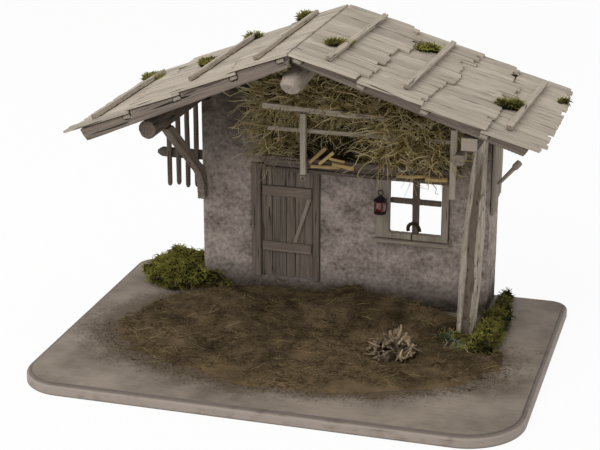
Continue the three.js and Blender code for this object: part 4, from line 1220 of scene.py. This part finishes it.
def build_moss():
    plants = bpy.context.scene.stable_plants
    # The right bank's fronds take the moss's painted-shade colours
    for side, seed, finish in (("left", 2, sheet_moss_dried()), ("right", 5, sheet_moss_shaded())):
        node = "moss_bank_" + side
        core = heaved(copy_of(node), voxel=2.2, heave=19.0, size=15.0, seed=seed)
        matted(core, "moss_core_" + side, moss_depths(), "moss", [node])
        top = part_of(core, lambda centre, normal: normal.z > -0.2)
        stalks_on(top, "moss_fronds_" + side, finish, "moss", density=48, thickness=1.15, droop=2.5,
                  seed=plants.seed + seed, **MOSS_HABIT)


# Brushwood and the lichen at the post's foot
QUARTERS = (0, 0.25, 0.5, 0.75, 1)


def build_brushwood():
    rng = random.Random(bpy.context.scene.stable_plants.seed + 40)
    shape = Shape()
    low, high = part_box("brushwood_heap")
    middle = (low + high) / 2 / MM
    chips = 150
    heap_radius = 21
    heap_height = 27
    for _ in range(chips):
        angle = rng.uniform(0, 2 * math.pi)
        away = heap_radius * math.sqrt(rng.random())
        rise = (1 - (away / 23) ** 2) * heap_height * rng.random()
        start = Vector((middle.x + away * math.cos(angle), middle.y + away * math.sin(angle),
                        BASE_TOP + 2.5 + rise))
        aim = Vector((rng.uniform(-1, 1), rng.uniform(-1, 1), rng.uniform(-0.6, 0.6))).normalized()
        length = rng.uniform(5, 14)
        kink = Vector((rng.uniform(-1, 1), rng.uniform(-1, 1), rng.uniform(-0.5, 0.8))).normalized()
        path = [start + aim * length * (share - 0.5) + kink * length * 0.7 * share * share
                for share in QUARTERS]
        width = rng.uniform(1.5, 6.5)
        flat = rng.uniform(0.2, 0.6)
        sizes = [(width * taper, width * flat * taper) for taper in (0.8, 1, 0.95, 0.8, 0.45)]
        swept(shape, path, squared(0.2), sizes, (0.2, 0.3, 1), rng, rough=0.35)
    for lean, height in ((-9, 31), (7, 33), (12, 25), (-3, 27)):
        start = Vector((middle.x + 2, middle.y, BASE_TOP + 12))
        tip = Vector((middle.x + 2 + lean, middle.y + lean / 3, BASE_TOP + height))
        bow = Vector((lean / 4, 0, 0))
        path = [start.lerp(tip, share) + bow * math.sin(3 * share) for share in QUARTERS]
        sizes = [(width, width * 0.6) for width in (4.5, 4.2, 4, 3.6, 2.4)]
        swept(shape, path, squared(0.2), sizes, BACK, rng, rough=0.3)
    made_from(shape, "brushwood", [twig_bark_dried()], "bark", replaced=["brushwood_heap"])


def build_post_foot():
    """Moss and lichen round the post's foot, with a few pale roots that hang out of them."""
    mass = lumps("foot_core", [(141, 22, 13, 13, 14, 15), (168, 16, 13, 14, 17, 14),
                               (176, 42, 13, 12, 24, 22), (157, 8, 13, 13, 11, 8)])
    heaved(mass, voxel=1.6, heave=5.0, size=8.0, seed=9)
    core = matted(mass, "foot_core", moss_depths(), "moss")
    top = part_of(core, lambda centre, normal: normal.z > 0 and centre.z > BASE_TOP)
    stalks_on(top, "foot_moss", sheet_moss_dried(), "moss", density=34, thickness=1.2, droop=2.0,
              seed=22, **MOSS_HABIT)
    near = part_of(core, lambda centre, normal: normal.z > -0.2 and centre.x < 158 and centre.y < 22)
    stalks_on(near, "lichen", lichen_grey_green(), "moss", density=30, lengths=(3, 8), thickness=1.2,
              stand=1.0, reach=(0.9, 0.9, 0.6), bend=5, droop=1.0, joints=4, seed=21, bend_size=6)
    rng = random.Random(12)
    shape = Shape()
    sizes = [(1.2 * (1 - 0.5 * step / 5),) * 2 for step in range(6)]
    for index in range(4):
        start = Vector((139 + 7 * index, 14 - 1.5 * index + rng.uniform(-3, 3), BASE_TOP + 9))
        out = Vector((rng.uniform(-6, 6), -rng.uniform(8, 15), -rng.uniform(6, 9)))
        path = [start + out * share + Vector((2 * math.sin(5 * share + index), 0, 5 * share * (1 - share)))
                for share in (0, 0.2, 0.4, 0.6, 0.8, 1)]
        swept(shape, path, round_section(6), sizes, UP, rng)
    made_from(shape, "pale_roots", [sawn_spruce_weathered()], "bark")


# Roof
class Slope:
    """One side of the roof: which way it falls, its angle, its run and its courses' lower ends."""

    def __init__(self, sign, angle, run, edges):
        self.sign = sign
        self.angle = angle
        self.length = run / math.cos(angle)
        self.ends = [edge * self.length for edge in edges]
        self.starts = [AIR] + [end - BOARD_OVERLAP for end in self.ends[:-1]]

    def place(self, down, y, height):
        """The point at a distance down the slope, a place along Y and a height over the boards' bed."""
        x = self.sign * (down * math.cos(self.angle) + height * math.sin(self.angle))
        return (x, y, RIDGE_Z - down * math.sin(self.angle) + height * math.cos(self.angle))

    def tilt(self, index):
        """How steeply a course rises off the slope to lie on the boards below it."""
        following = self.starts[index + 1] if index + 1 < len(self.starts) else self.length
        return (BOARD_THICKNESS + 1.6 * AIR) / (following - self.starts[index])

    def down_vector(self):
        return (self.sign * math.cos(self.angle), 0, -math.sin(self.angle))


LEFT = Slope(-1, LEFT_SLOPE, LEFT_RUN, [0.256, 0.507, 0.735, 1])
RIGHT = Slope(1, RIGHT_SLOPE, RIGHT_RUN, [0.306, 0.557, 0.79, 1])

# Where a group of boards ends lower (or higher) than its course: from a place along Y, by so much
RIGHT_STEPS = [
    [(-61, -8), (-44, 0), (76, 12), (132, 3)],
    [(-61, -6), (8, -1), (30, 5), (60, 1), (100, 11)],
    [(-61, -2), (34, -7), (53, 4), (98, -6), (130, -7)],
    [(-61, -4), (-40, -1), (60, 2), (130, -3)],
]
LEFT_STEPS = [
    [(-61, 0), (-20, 6), (70, -3)],
    [(-61, 2), (30, -6), (80, 6), (125, -2)],
    [(-61, -3), (0, 5), (60, -2), (120, 6)],
    [(-61, 0), (-48, -5), (-20, -3), (90, -6)],
]


def build_roof_boards():
    timber = bpy.context.scene.stable_timber
    for label, slope, steps in (("left", LEFT, LEFT_STEPS), ("right", RIGHT, RIGHT_STEPS)):
        for index, end in enumerate(slope.ends):
            rng = random.Random(timber.seed * 100 + index * 7 + (50 if slope.sign > 0 else 0))
            shape = Shape()
            y = ROOF_FRONT_Y + rng.uniform(-0.8, 0.8)
            last = index == len(slope.ends) - 1
            rough = timber.end_rough / MM * (0.7 if last else 1.0)
            while y < ROOF_BACK_Y - 4:
                width = min(rng.uniform(13, 25), ROOF_BACK_Y + 0.8 - y)
                if ROOF_BACK_Y - y - width < 6:
                    width = ROOF_BACK_Y + 0.8 - y
                longer = [amount for start, amount in steps[index] if y + width / 2 > start][-1]
                low_end = end + longer + rng.uniform(-1.5, 1.5)
                if last:
                    low_end = min(low_end, slope.length + 0.5)
                gap = rng.uniform(0.1, timber.split_gap / MM)
                split_board(shape, slope.place, (slope.starts[index], low_end), (y, y + width - gap),
                            BOARD_THICKNESS + rng.uniform(-0.3, 0.2), rng, rough=rough,
                            lift=AIR + rng.uniform(0, 0.35), tilt=slope.tilt(index), rows=12)
                y += width
            made_from(shape, f"boards_{label}_{index + 1}", [split_spruce_bleached()], "weathered_wood",
                      replaced=[f"board_course_{label}_{index + 1}"])


def raise_to_boards(rafter, slope):
    """Lifts a rafter's upper edge to the underside of the boards, which lie in steps."""
    places = points_of(rafter.data) / MM
    across = np.array([slope.sign * math.sin(slope.angle), 0, math.cos(slope.angle)])
    down = (places - np.array([0, 0, RIDGE_Z])) @ np.array(slope.down_vector())
    height = (places - np.array([0, 0, RIDGE_Z])) @ across
    under = np.zeros(len(places))
    for index, start in enumerate(slope.starts):
        under = np.where(down >= start, 0.2 + slope.tilt(index) * (down - start), under)
    share = np.clip((height + 3.5) / 3.0, 0, 1)
    places += (share * under)[:, None] * across
    move_points(rafter.data, places * MM)
    rafter.data.update()


def build_roof_frame():
    for label, slope in (("left", LEFT), ("right", RIGHT)):
        down = slope.down_vector()
        for number in range(1, 5):
            worn_copy(f"lath_{label}_{number}", BACK, "shaded_wood", sawn_spruce_weathered(),
                      end_grain_weathered(), seed=number + 3 * slope.sign + 10)
        for number in range(1, 4):
            worn_copy(f"top_batten_{label}_{number}", BACK, "weathered_wood", split_spruce_bleached(),
                      end_grain_weathered(), voxel=0.9, seed=number + 5 * slope.sign + 20)
        # The front rafters take the darker door finish: partly their own brown, partly painted shade on
        # their front faces
        rafter = worn_copy("rafter_front_" + label, down, "weathered_wood", fir_planks_worn(),
                           end_grain_weathered(), seed=31 + slope.sign)
        raise_to_boards(rafter, slope)
        worn_copy("rafter_rear_" + label, down, "shaded_wood", spruce_in_shade(), seed=35 + slope.sign)


def build_purlins():
    worn_copy("purlin_left", BACK, "shaded_wood", spruce_in_shade(), voxel=1.3, crack=1.1, seed=42)
    worn_copy("purlin_right", BACK, "weathered_wood", spruce_in_shade(), end_grain_weathered(),
              voxel=1.3, seed=43)


def build_ridge_log():
    """The ridge log, stripped of its bark, with its front end hewn to a blunt point."""
    low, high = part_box("ridge_log")
    rng = random.Random(41)
    middle = (low + high) / 2 / MM
    radius = (high.x - low.x) / 2 / MM
    front = low.y / MM + 0.3
    outline = []
    for turn in range(18):
        angle = 2 * math.pi * turn / 18
        share = 0.5 * (0.93 + 0.07 * noise.noise((2 * math.cos(angle), 2 * math.sin(angle), 4.4)))
        outline.append((share * math.cos(angle), share * math.sin(angle)))
    steps = [(0.0, 0.62), (1.2, 0.8), (3.5, 0.93), (7.0, 1.0)]
    steps += [(distance, 1.0) for distance in range(20, int((high.y - low.y) / MM) - 8, 14)]
    path = []
    sizes = []
    for distance, share in steps:
        sag = 3.0 * max(0.0, 1 - distance / 60)
        path.append((middle.x - 1.5 * (1 - share), front + distance, middle.z - sag - 6 * (1 - share)))
        sizes.append((2 * radius * share, 2 * radius * share))
    shape = Shape()
    swept(shape, path, outline, sizes, UP, rng, rough=0.2)
    made_from(shape, "hewn_ridge_log", [sawn_spruce_weathered()], "weathered_wood", replaced=["ridge_log"])


def build_roof_moss():
    tufts = [("right", 28, 15, 13, 18, 3.2), ("right", 98, 104, 11, 15, 7), ("right", 197, 30, 13, 15, 8),
             ("right", 240, 106, 6, 10, 5), ("left", 43, 146, 11, 15, 9), ("left", 103, 142, 12, 14, 7),
             ("left", 126, 62, 14, 20, 6), ("left", 216, 118, 14, 24, 6)]
    heaps = []
    for side, down, y, width, depth, height in tufts:
        slope = LEFT if side == "left" else RIGHT
        for step in (-1, 0, 1):
            x, _, z = slope.place(down + step * width * 0.45, y, 5.6)
            high = height * (0.75 + 0.1 * step)
            heaps.append((x, y + step * depth * 0.35, z, width * 0.6, depth * 0.6, high))
    mass = heaved(lumps("roof_moss_core", heaps), voxel=1.3, heave=2.5, size=6.0, seed=3)
    core = matted(mass, "roof_moss_core", moss_depths(), "moss")
    top = part_of(core, lambda centre, normal: normal.z > 0.05)
    stalks_on(top, "roof_moss", sheet_moss_dried(), "moss", density=55, lengths=(2, 6), thickness=1.1,
              stand=0.9, reach=(1, 1, 0.5), bend=5, droop=0.8, joints=4,
              seed=bpy.context.scene.stable_plants.seed + 31, bend_size=5)


# Walls, porch and sides
def hollow_out(post):
    """Wears a long hollow into the post's front face, deepest in its middle."""
    mesh = post.data
    places = points_of(mesh)
    foot = places.min(0)[2]
    head = places.max(0)[2]
    deepest = 4.0
    hollow = np.zeros(len(places))
    for index, (x, y, z) in enumerate((places / MM).tolist()):
        share = (z - foot / MM) / ((head - foot) / MM)
        centre = 153.5 + 10 * share + 1.6 * noise.noise((z / 40, 0.5, 3.5))
        half = 4.4 + 1.4 * noise.noise((z / 24, 7.5, 0.5))
        inside = max(0.0, 1 - ((x - centre) / half) ** 2)
        front = max(0.0, min(1.0, (44 - y) / 6))
        hollow[index] = math.sqrt(inside) * front * deepest * min(1.0, max(0.0, (0.92 - share) / 0.2))
    places[:, 1] += hollow * MM
    move_points(mesh, places)
    # The hollow's depth also darkens the post's colour there, as painted shade
    store(mesh, "hollow", "FLOAT", hollow / deepest)
    mesh.update()


def build_walls():
    for seed, (node, facing) in enumerate((("wall_front", 1), ("wall_left", 0), ("wall_right", 0))):
        plastered_copy(node, seed + 1, facing)
    rng = random.Random(64)
    low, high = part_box("side_boards_right")
    shape = Shape()
    y = low.y / MM
    top = high.z / MM - 0.2
    while y < high.y / MM - 3:
        width = min(rng.uniform(11, 17), high.y / MM - y)
        fall = rng.uniform(104, 122)
        out = low.x / MM + rng.uniform(0, 3.2)
        split_board(shape, lambda down, across, height, out=out: (out + height, across, top - down),
                    (0, fall), (y, y + width - 0.5), 2.3, rng, rough=8, rows=16)
        y += width
    made_from(shape, "side_boards", [sawn_spruce_weathered(), end_grain_weathered()], "weathered_wood",
              replaced=["side_boards_right"])
    build_gable_boards(rng)


def under_slope(slope, x, depth):
    """The height at X that lies a depth under the slope."""
    return RIDGE_Z - abs(x) * math.tan(slope.angle) - depth / math.cos(slope.angle)


def build_gable_boards(rng):
    low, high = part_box("rear_gable_boards")
    shape = Shape()
    x = low.x / MM
    while x < high.x / MM - 4:
        width = min(rng.uniform(15, 23), high.x / MM - x)
        far = max(abs(x), abs(x + width))
        slope, depth = (LEFT, 11.5) if x + width / 2 < 0 else (RIGHT, 9.0)
        top = under_slope(slope, far, depth)
        if abs(x) < 13.5 or abs(x + width) < 13.5 or x * (x + width) < 0:
            top = 273.5
        split_board(shape, lambda rise, across, height: (across, HOUSE_BACK_Y - 0.1 - height, top - rise),
                    (0, top - LOFT_TOP - 0.6), (x, x + width - 0.5), 2.4, rng, rough=3, rows=14)
        x += width
    made_from(shape, "gable_boards", [spruce_in_shade(), end_grain_weathered()], "shaded_wood",
              replaced=["rear_gable_boards"])


def build_porch():
    post = worn_copy("porch_post", (0.05, 0, 1), "weathered_wood", weathered_post_shaded_hollow(), voxel=1.2,
                     relief=0.8, crack=2.2, seed=51)
    hollow_out(post)
    worn_copy("knee_brace", (0, -0.8, 0.58), "shaded_wood", fir_planks_worn(), sawn_spruce_weathered(),
              voxel=1.0, relief=0.8, crack=1.0, seed=52)


def build_lattice():
    """Four upright slats with rounded feet on one pointed rail."""
    low, high = (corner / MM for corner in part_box("side_lattice"))
    rng = random.Random(61)
    shape = Shape()
    rail = [(x, LATTICE_RAIL_Y, BASE_TOP + 144) for x in (low.x, low.x + 2, low.x + 5, low.x + 20, high.x)]
    sizes = [(4, 4), (4.4, 7), (4.6, 10.5), (4.6, 11), (4.6, 11)]
    swept(shape, rail, squared(), sizes, UP, rng, rough=0.15)
    for index in range(4):
        x = low.x + 13.8 + index * 10.25
        foot = low.z + rng.uniform(0.5, 4)
        top = under_slope(LEFT, x - 3, 5.5)
        path = [(x, LATTICE_SLAT_Y, foot + rise) for rise in (0, 1.2, 3)]
        path += [(x + rng.uniform(-0.4, 0.4), LATTICE_SLAT_Y, foot + (top - foot) * share)
                 for share in (0.3, 0.6, 1)]
        sizes = [(2.2, 1.6), (4, 2.6), (5, 3.2), (5.4, 3.4), (5.2, 3.4), (5.2, 3.4)]
        swept(shape, path, squared(), sizes, BACK, rng, rough=0.15)
    made_from(shape, "slatted_lattice", [spruce_in_shade()], "shaded_wood", replaced=["side_lattice"])


def build_peg():
    worn_copy("side_peg", (0.77, 0, 0.64), "weathered_wood", sawn_spruce_weathered(), end_grain_weathered(),
              voxel=0.6, relief=0.2, crack=0.2, seed=62)


# Gallery and loft
def build_gallery():
    worn_copy("loft_floor", ACROSS, "shaded_wood", spruce_in_shade(), voxel=1.4, seed=71)
    worn_copy("gallery_beam", ACROSS, "shaded_wood", spruce_in_shade(), seed=72)
    for node, along, seed in (("gallery_rail_upper", ACROSS, 73), ("gallery_rail_lower", ACROSS, 74),
                              ("baluster_left", UP, 76), ("baluster_right", UP, 77)):
        worn_copy(node, along, "weathered_wood", split_spruce_bleached(), end_grain_weathered(),
                  voxel=0.8, seed=seed)
    rng = random.Random(77)
    shape = Shape()
    swept(shape, between((137.5, 58.5, 191.5), (137.5, 76, 191.5), 6), squared(), (11, 11), UP, rng,
          rough=0.08)
    made_from(shape, "joist_end", [sawn_spruce_weathered()], "weathered_wood")
    ring = Shape()
    swept(ring, hoop(-22, 66.7, 156.6, 2.6, 14), round_section(6), (1.8, 3.4), BACK, rng, closed=True)
    made_from(ring, "turned_ring", [sawn_spruce_weathered()], "weathered_wood")


def build_firewood():
    """Split logs on the loft's front edge, and the fresh ends over the window."""
    rng = random.Random(81)
    shape = Shape()
    sticks = [
        ((-15, 65, 174), (1, 68, 190), 4.6, 4.5), ((-5, 64, 174), (9, 68, 186), 5, 4.5),
        ((9, 64.5, 175), (31, 66, 171.5), 5.5, 5), ((-14, 67, 170), (16, 67.5, 171), 5, 4),
        ((5, 66, 180), (20, 70, 176), 4.2, 4), ((104, 64, 167.5), (126, 66, 168.5), 8, 6),
        ((75, 65, 168.5), (92, 66.5, 167.5), 5, 4), ((88, 66, 168), (106, 67.5, 169.5), 4, 4),
    ]
    for start, end, width, depth in sticks:
        swept(shape, between(start, end, 5), split_section(), (width, depth), (0, -0.5, 1), rng, rough=0.55)
    made_from(shape, "split_firewood", [split_pine_fresh()], "fresh_wood")


def build_hay():
    plants = bpy.context.scene.stable_plants
    longest = plants.hay_length / MM
    mass = heaved(copy_of("hay_fill"), voxel=2.6, heave=9.0, size=15.0, seed=6)
    # The hay's core and overhang are dressed in painted shade, near-black between the stalks
    core = matted(mass, "hay_core", hay_painted_shade(), "hay", ["hay_fill"])
    front = part_of(core, lambda centre, normal: normal.y < 0.35 and centre.y < 125 and centre.z > 172
                    and not (-24 < centre.x < 34 and centre.z < 204))
    spill = lumps("hay_overhang", [
        (-75, 98, 208, 11, 6, 24), (-68, 99.5, 176, 8, 4, 16),
        (-58, 88, 234, 14, 14, 15), (-28, 79, 243, 24, 10, 12), (20, 78, 238, 30, 10, 12),
        (64, 77, 225, 26, 10, 14), (92, 75, 206, 24, 9, 18), (68, 76, 190, 14, 8, 13),
        (110, 76, 194, 17, 8, 14), (98, 74, 183, 22, 7, 7),
    ])
    heaved(spill, voxel=2.2, heave=5.0, size=9.0, seed=8)
    overhang = matted(spill, "hay_overhang", hay_painted_shade(), "hay")
    outer = part_of(overhang, lambda centre, normal: normal.y < 0.5)
    stalks_on(front.copy(), "hay_stalks_inner", meadow_hay_dried(), "hay", density=11,
              lengths=(14, longest * 0.8), thickness=0.8, stand=0.35, reach=(1, 0.5, 0.45), bend=30,
              droop=4, seed=plants.seed + 1)
    stalks_on(outer.copy(), "hay_stalks_outer", meadow_hay_dried(), "hay", density=11,
              lengths=(12, longest * 0.7), thickness=0.85, stand=0.4, reach=(1, 0.5, 0.55), bend=34,
              droop=4, seed=plants.seed + 2)
    stalks_on(outer, "hay_stems", hay_stems_pale(), "hay", density=3.4, lengths=(18, longest),
              thickness=1.8, stand=0.4, reach=(1, 0.5, 0.5), bend=44, droop=3, joints=9,
              seed=plants.seed + 3)


# Door
def build_door():
    worn_copy("door_frame", UP, "door_wood", fir_planks_worn(), voxel=1.0, seed=91)
    low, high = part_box("door_planks")
    rng = random.Random(92)
    shape = Shape()
    x = low.x / MM
    back = high.y / MM
    span = (high.x - low.x) / MM
    widths = [11.5, 15.4, 10.0, 19.1]
    for share in widths:
        width = share / sum(widths) * span
        split_board(shape, lambda down, across, height: (across, back - 0.1 - height, high.z / MM - down),
                    (0.1, (high.z - low.z) / MM - 0.2), (x, x + width - 0.9), 2.7, rng, rough=0.3, rows=16)
        x += width
    middle = (low.x + high.x) / 2 / MM
    backing = between((middle, back - 0.6, low.z / MM + 2), (middle, back - 0.6, high.z / MM - 1), 3)
    swept(shape, backing, squared(0.02), (span - 2, 0.8), BACK, rng)
    made_from(shape, "door_boards", [fir_planks_worn()], "door_wood", "door", ["door_planks"])
    for seed, node in enumerate(("door_ledge_upper", "door_ledge_lower")):
        worn_copy(node, ACROSS, "door_wood", fir_planks_worn(), end_grain_weathered(), voxel=0.7,
                  relief=0.2, crack=0.3, seed=95 + seed, body="door")
    worn_copy("door_brace", (0.25, 0, 1), "fresh_wood", sawn_spruce_weathered(), voxel=0.6, relief=0.15,
              crack=0.2, seed=98, body="door")
    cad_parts["door_hinge_rod"].material_slots[0].material = iron_blackened()


# Window and lantern
def build_window():
    worn_copy("window_frame", UP, "door_wood", sawn_spruce_weathered(), voxel=0.9, seed=101)
    worn_copy("window_bars", UP, "door_wood", spruce_in_shade(), voxel=0.7, relief=0.25, crack=0.4,
              seed=102)
    worn_copy("window_sill", ACROSS, "weathered_wood", sawn_spruce_weathered(), end_grain_weathered(),
              voxel=0.8, seed=103)
    rng = random.Random(104)
    shape = Shape()
    path = []
    for step in range(11):
        angle = math.radians(200 - 21 * step)
        radius = 4.2 + 0.34 * step
        path.append((84.5 + radius * math.cos(angle), 100.5, 100.2 + 1.15 * radius * math.sin(angle)))
    swept(shape, path, squared(0.3), (4.5, 1.2), BACK, rng, rough=0.3)
    # The curl of bark is coloured with the hay's near-black painted shade
    made_from(shape, "bark_curl", [hay_painted_shade()], "bark")


def build_lantern():
    low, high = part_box("lantern")
    x = (low.x + high.x) / 2 / MM
    y = (low.y + high.y) / 2 / MM
    foot = low.z / MM
    reach = (high.x - low.x) / MM
    rng = random.Random(111)
    iron = Shape()

    def turned(shape, profile):
        """A turned part, each place a height over the lantern's foot and a share of its width."""
        path = [(x, y, foot + rise) for rise, _ in profile]
        sizes = [(share * reach, share * reach) for _, share in profile]
        swept(shape, path, round_section(20), sizes, BACK, rng)

    turned(iron, [(0.1, 0.8), (0.4, 0.86), (1.6, 0.88), (2.1, 0.8), (2.6, 0.7), (3.0, 0.55)])
    turned(iron, [(13.6, 0.6), (14.0, 0.94), (14.6, 0.98), (15.4, 0.8), (17.2, 0.48), (18.4, 0.34),
                  (18.8, 0.2), (19.9, 0.14)])
    for turn in range(4):
        angle = math.pi / 2 * turn + 0.5
        bar_x = x + 0.4 * reach * math.cos(angle)
        bar_y = y + 0.4 * reach * math.sin(angle)
        swept(iron, between((bar_x, bar_y, foot + 1.6), (bar_x, bar_y, foot + 14.2), 3), squared(),
              (1.1, 1.1), BACK, rng)
    swept(iron, hoop(x, y, high.z / MM - 3.2, 2.6, 16), round_section(8), (1.1, 1.1), BACK, rng, closed=True)
    made_from(iron, "lantern_cage", [iron_blackened()], "iron", "lantern", ["lantern"])
    glass = Shape()
    turned(glass, [(2.7, 0.5), (3.4, 0.66), (6, 0.7), (10, 0.68), (13, 0.6), (13.7, 0.5)])
    made_from(glass, "lantern_glass", [ruby_glass_cast()], "iron", "lantern")


# Operators, one for each piece or group of like pieces
class STABLE_OT_stage(bpy.types.Operator):
    """Set up the floor, the soft light and the camera"""
    bl_idname = "stable.stage"
    bl_label = "Stage"

    def execute(self, context):
        build_stage()
        return {"FINISHED"}


class STABLE_OT_base_board(bpy.types.Operator):
    """Make the routed base board"""
    bl_idname = "stable.base_board"
    bl_label = "Base board"

    def execute(self, context):
        build_base_board()
        return {"FINISHED"}


class STABLE_OT_ground(bpy.types.Operator):
    """Spread the earth with its crumbs, fibres and straw"""
    bl_idname = "stable.ground"
    bl_label = "Earth"

    def execute(self, context):
        build_ground()
        return {"FINISHED"}


class STABLE_OT_moss(bpy.types.Operator):
    """Grow the two banks of moss beside the house"""
    bl_idname = "stable.moss"
    bl_label = "Moss banks"

    def execute(self, context):
        build_moss()
        return {"FINISHED"}


class STABLE_OT_brushwood(bpy.types.Operator):
    """Heap the brushwood and set the lichen at the post's foot"""
    bl_idname = "stable.brushwood"
    bl_label = "Brushwood and lichen"

    def execute(self, context):
        build_brushwood()
        build_post_foot()
        return {"FINISHED"}


class STABLE_OT_walls(bpy.types.Operator):
    """Plaster the walls and board the side and the rear gable"""
    bl_idname = "stable.walls"
    bl_label = "Walls"

    def execute(self, context):
        build_walls()
        return {"FINISHED"}


class STABLE_OT_porch(bpy.types.Operator):
    """Weather the porch post and the knee brace"""
    bl_idname = "stable.porch"
    bl_label = "Porch post and brace"

    def execute(self, context):
        build_porch()
        return {"FINISHED"}


class STABLE_OT_side_fittings(bpy.types.Operator):
    """Weather the lattice on the left and the peg on the right"""
    bl_idname = "stable.side_fittings"
    bl_label = "Lattice and peg"

    def execute(self, context):
        build_lattice()
        build_peg()
        return {"FINISHED"}


class STABLE_OT_roof_frame(bpy.types.Operator):
    """Weather the rafters, laths, purlins, ridge log and top battens"""
    bl_idname = "stable.roof_frame"
    bl_label = "Roof frame"

    def execute(self, context):
        build_roof_frame()
        build_ridge_log()
        build_purlins()
        return {"FINISHED"}


class STABLE_OT_roof_boards(bpy.types.Operator):
    """Lay the split boards in four courses on each slope"""
    bl_idname = "stable.roof_boards"
    bl_label = "Roof boards"

    def execute(self, context):
        build_roof_boards()
        return {"FINISHED"}


class STABLE_OT_roof_moss(bpy.types.Operator):
    """Set the tufts of moss on the roof"""
    bl_idname = "stable.roof_moss"
    bl_label = "Roof moss"

    def execute(self, context):
        build_roof_moss()
        return {"FINISHED"}


class STABLE_OT_gallery(bpy.types.Operator):
    """Weather the loft floor, beam, rails and balusters, and lay the firewood"""
    bl_idname = "stable.gallery"
    bl_label = "Gallery and firewood"

    def execute(self, context):
        build_gallery()
        build_firewood()
        return {"FINISHED"}


class STABLE_OT_hay(bpy.types.Operator):
    """Fill the loft with hay that hangs over the rail"""
    bl_idname = "stable.hay"
    bl_label = "Hay"

    def execute(self, context):
        build_hay()
        return {"FINISHED"}


class STABLE_OT_door(bpy.types.Operator):
    """Build the door of four boards with its ledges, brace and frame"""
    bl_idname = "stable.door"
    bl_label = "Door"

    def execute(self, context):
        build_door()
        return {"FINISHED"}


class STABLE_OT_window(bpy.types.Operator):
    """Weather the window frame, bars and sill, and lay the curl of bark"""
    bl_idname = "stable.window"
    bl_label = "Window"

    def execute(self, context):
        build_window()
        return {"FINISHED"}


class STABLE_OT_lantern(bpy.types.Operator):
    """Build the iron lantern with its red glass"""
    bl_idname = "stable.lantern"
    bl_label = "Lantern"

    def execute(self, context):
        build_lantern()
        return {"FINISHED"}


OPERATORS = [
    STABLE_OT_stage, STABLE_OT_base_board, STABLE_OT_ground, STABLE_OT_moss, STABLE_OT_brushwood,
    STABLE_OT_walls, STABLE_OT_porch, STABLE_OT_side_fittings, STABLE_OT_roof_frame,
    STABLE_OT_roof_boards, STABLE_OT_roof_moss, STABLE_OT_gallery, STABLE_OT_hay, STABLE_OT_door,
    STABLE_OT_window, STABLE_OT_lantern,
]

SETTINGS = {
    "stable_timber": StableTimberSettings,
    "stable_house": StableHouseSettings,
    "stable_ground": StableGroundSettings,
    "stable_plants": StablePlantSettings,
    "stable_stage": StableStageSettings,
}


class STABLE_PT_panel(bpy.types.Panel):
    """Lists the stable's settings and the steps that build it"""
    bl_idname = "STABLE_PT_panel"
    bl_label = "Nativity stable"
    bl_space_type = "VIEW_3D"
    bl_region_type = "UI"
    bl_category = "Stable"

    def draw(self, context):
        for name, group in SETTINGS.items():
            box = self.layout.box()
            for field in group.__annotations__:
                box.prop(getattr(context.scene, name), field)
        for operator in OPERATORS:
            self.layout.operator(operator.bl_idname)


def register():
    for group in SETTINGS.values():
        bpy.utils.register_class(group)
    for name, group in SETTINGS.items():
        setattr(bpy.types.Scene, name, bpy.props.PointerProperty(type=group))
    for operator in OPERATORS:
        bpy.utils.register_class(operator)
    bpy.utils.register_class(STABLE_PT_panel)


def unregister():
    bpy.utils.unregister_class(STABLE_PT_panel)
    for operator in reversed(OPERATORS):
        bpy.utils.unregister_class(operator)
    for name in SETTINGS:
        delattr(bpy.types.Scene, name)
    for group in reversed(list(SETTINGS.values())):
        bpy.utils.unregister_class(group)


def main():
    register()
    for operator in OPERATORS:
        group, name = operator.bl_idname.split(".")
        getattr(getattr(bpy.ops, group), name)()


if __name__ == "__main__":
    main()
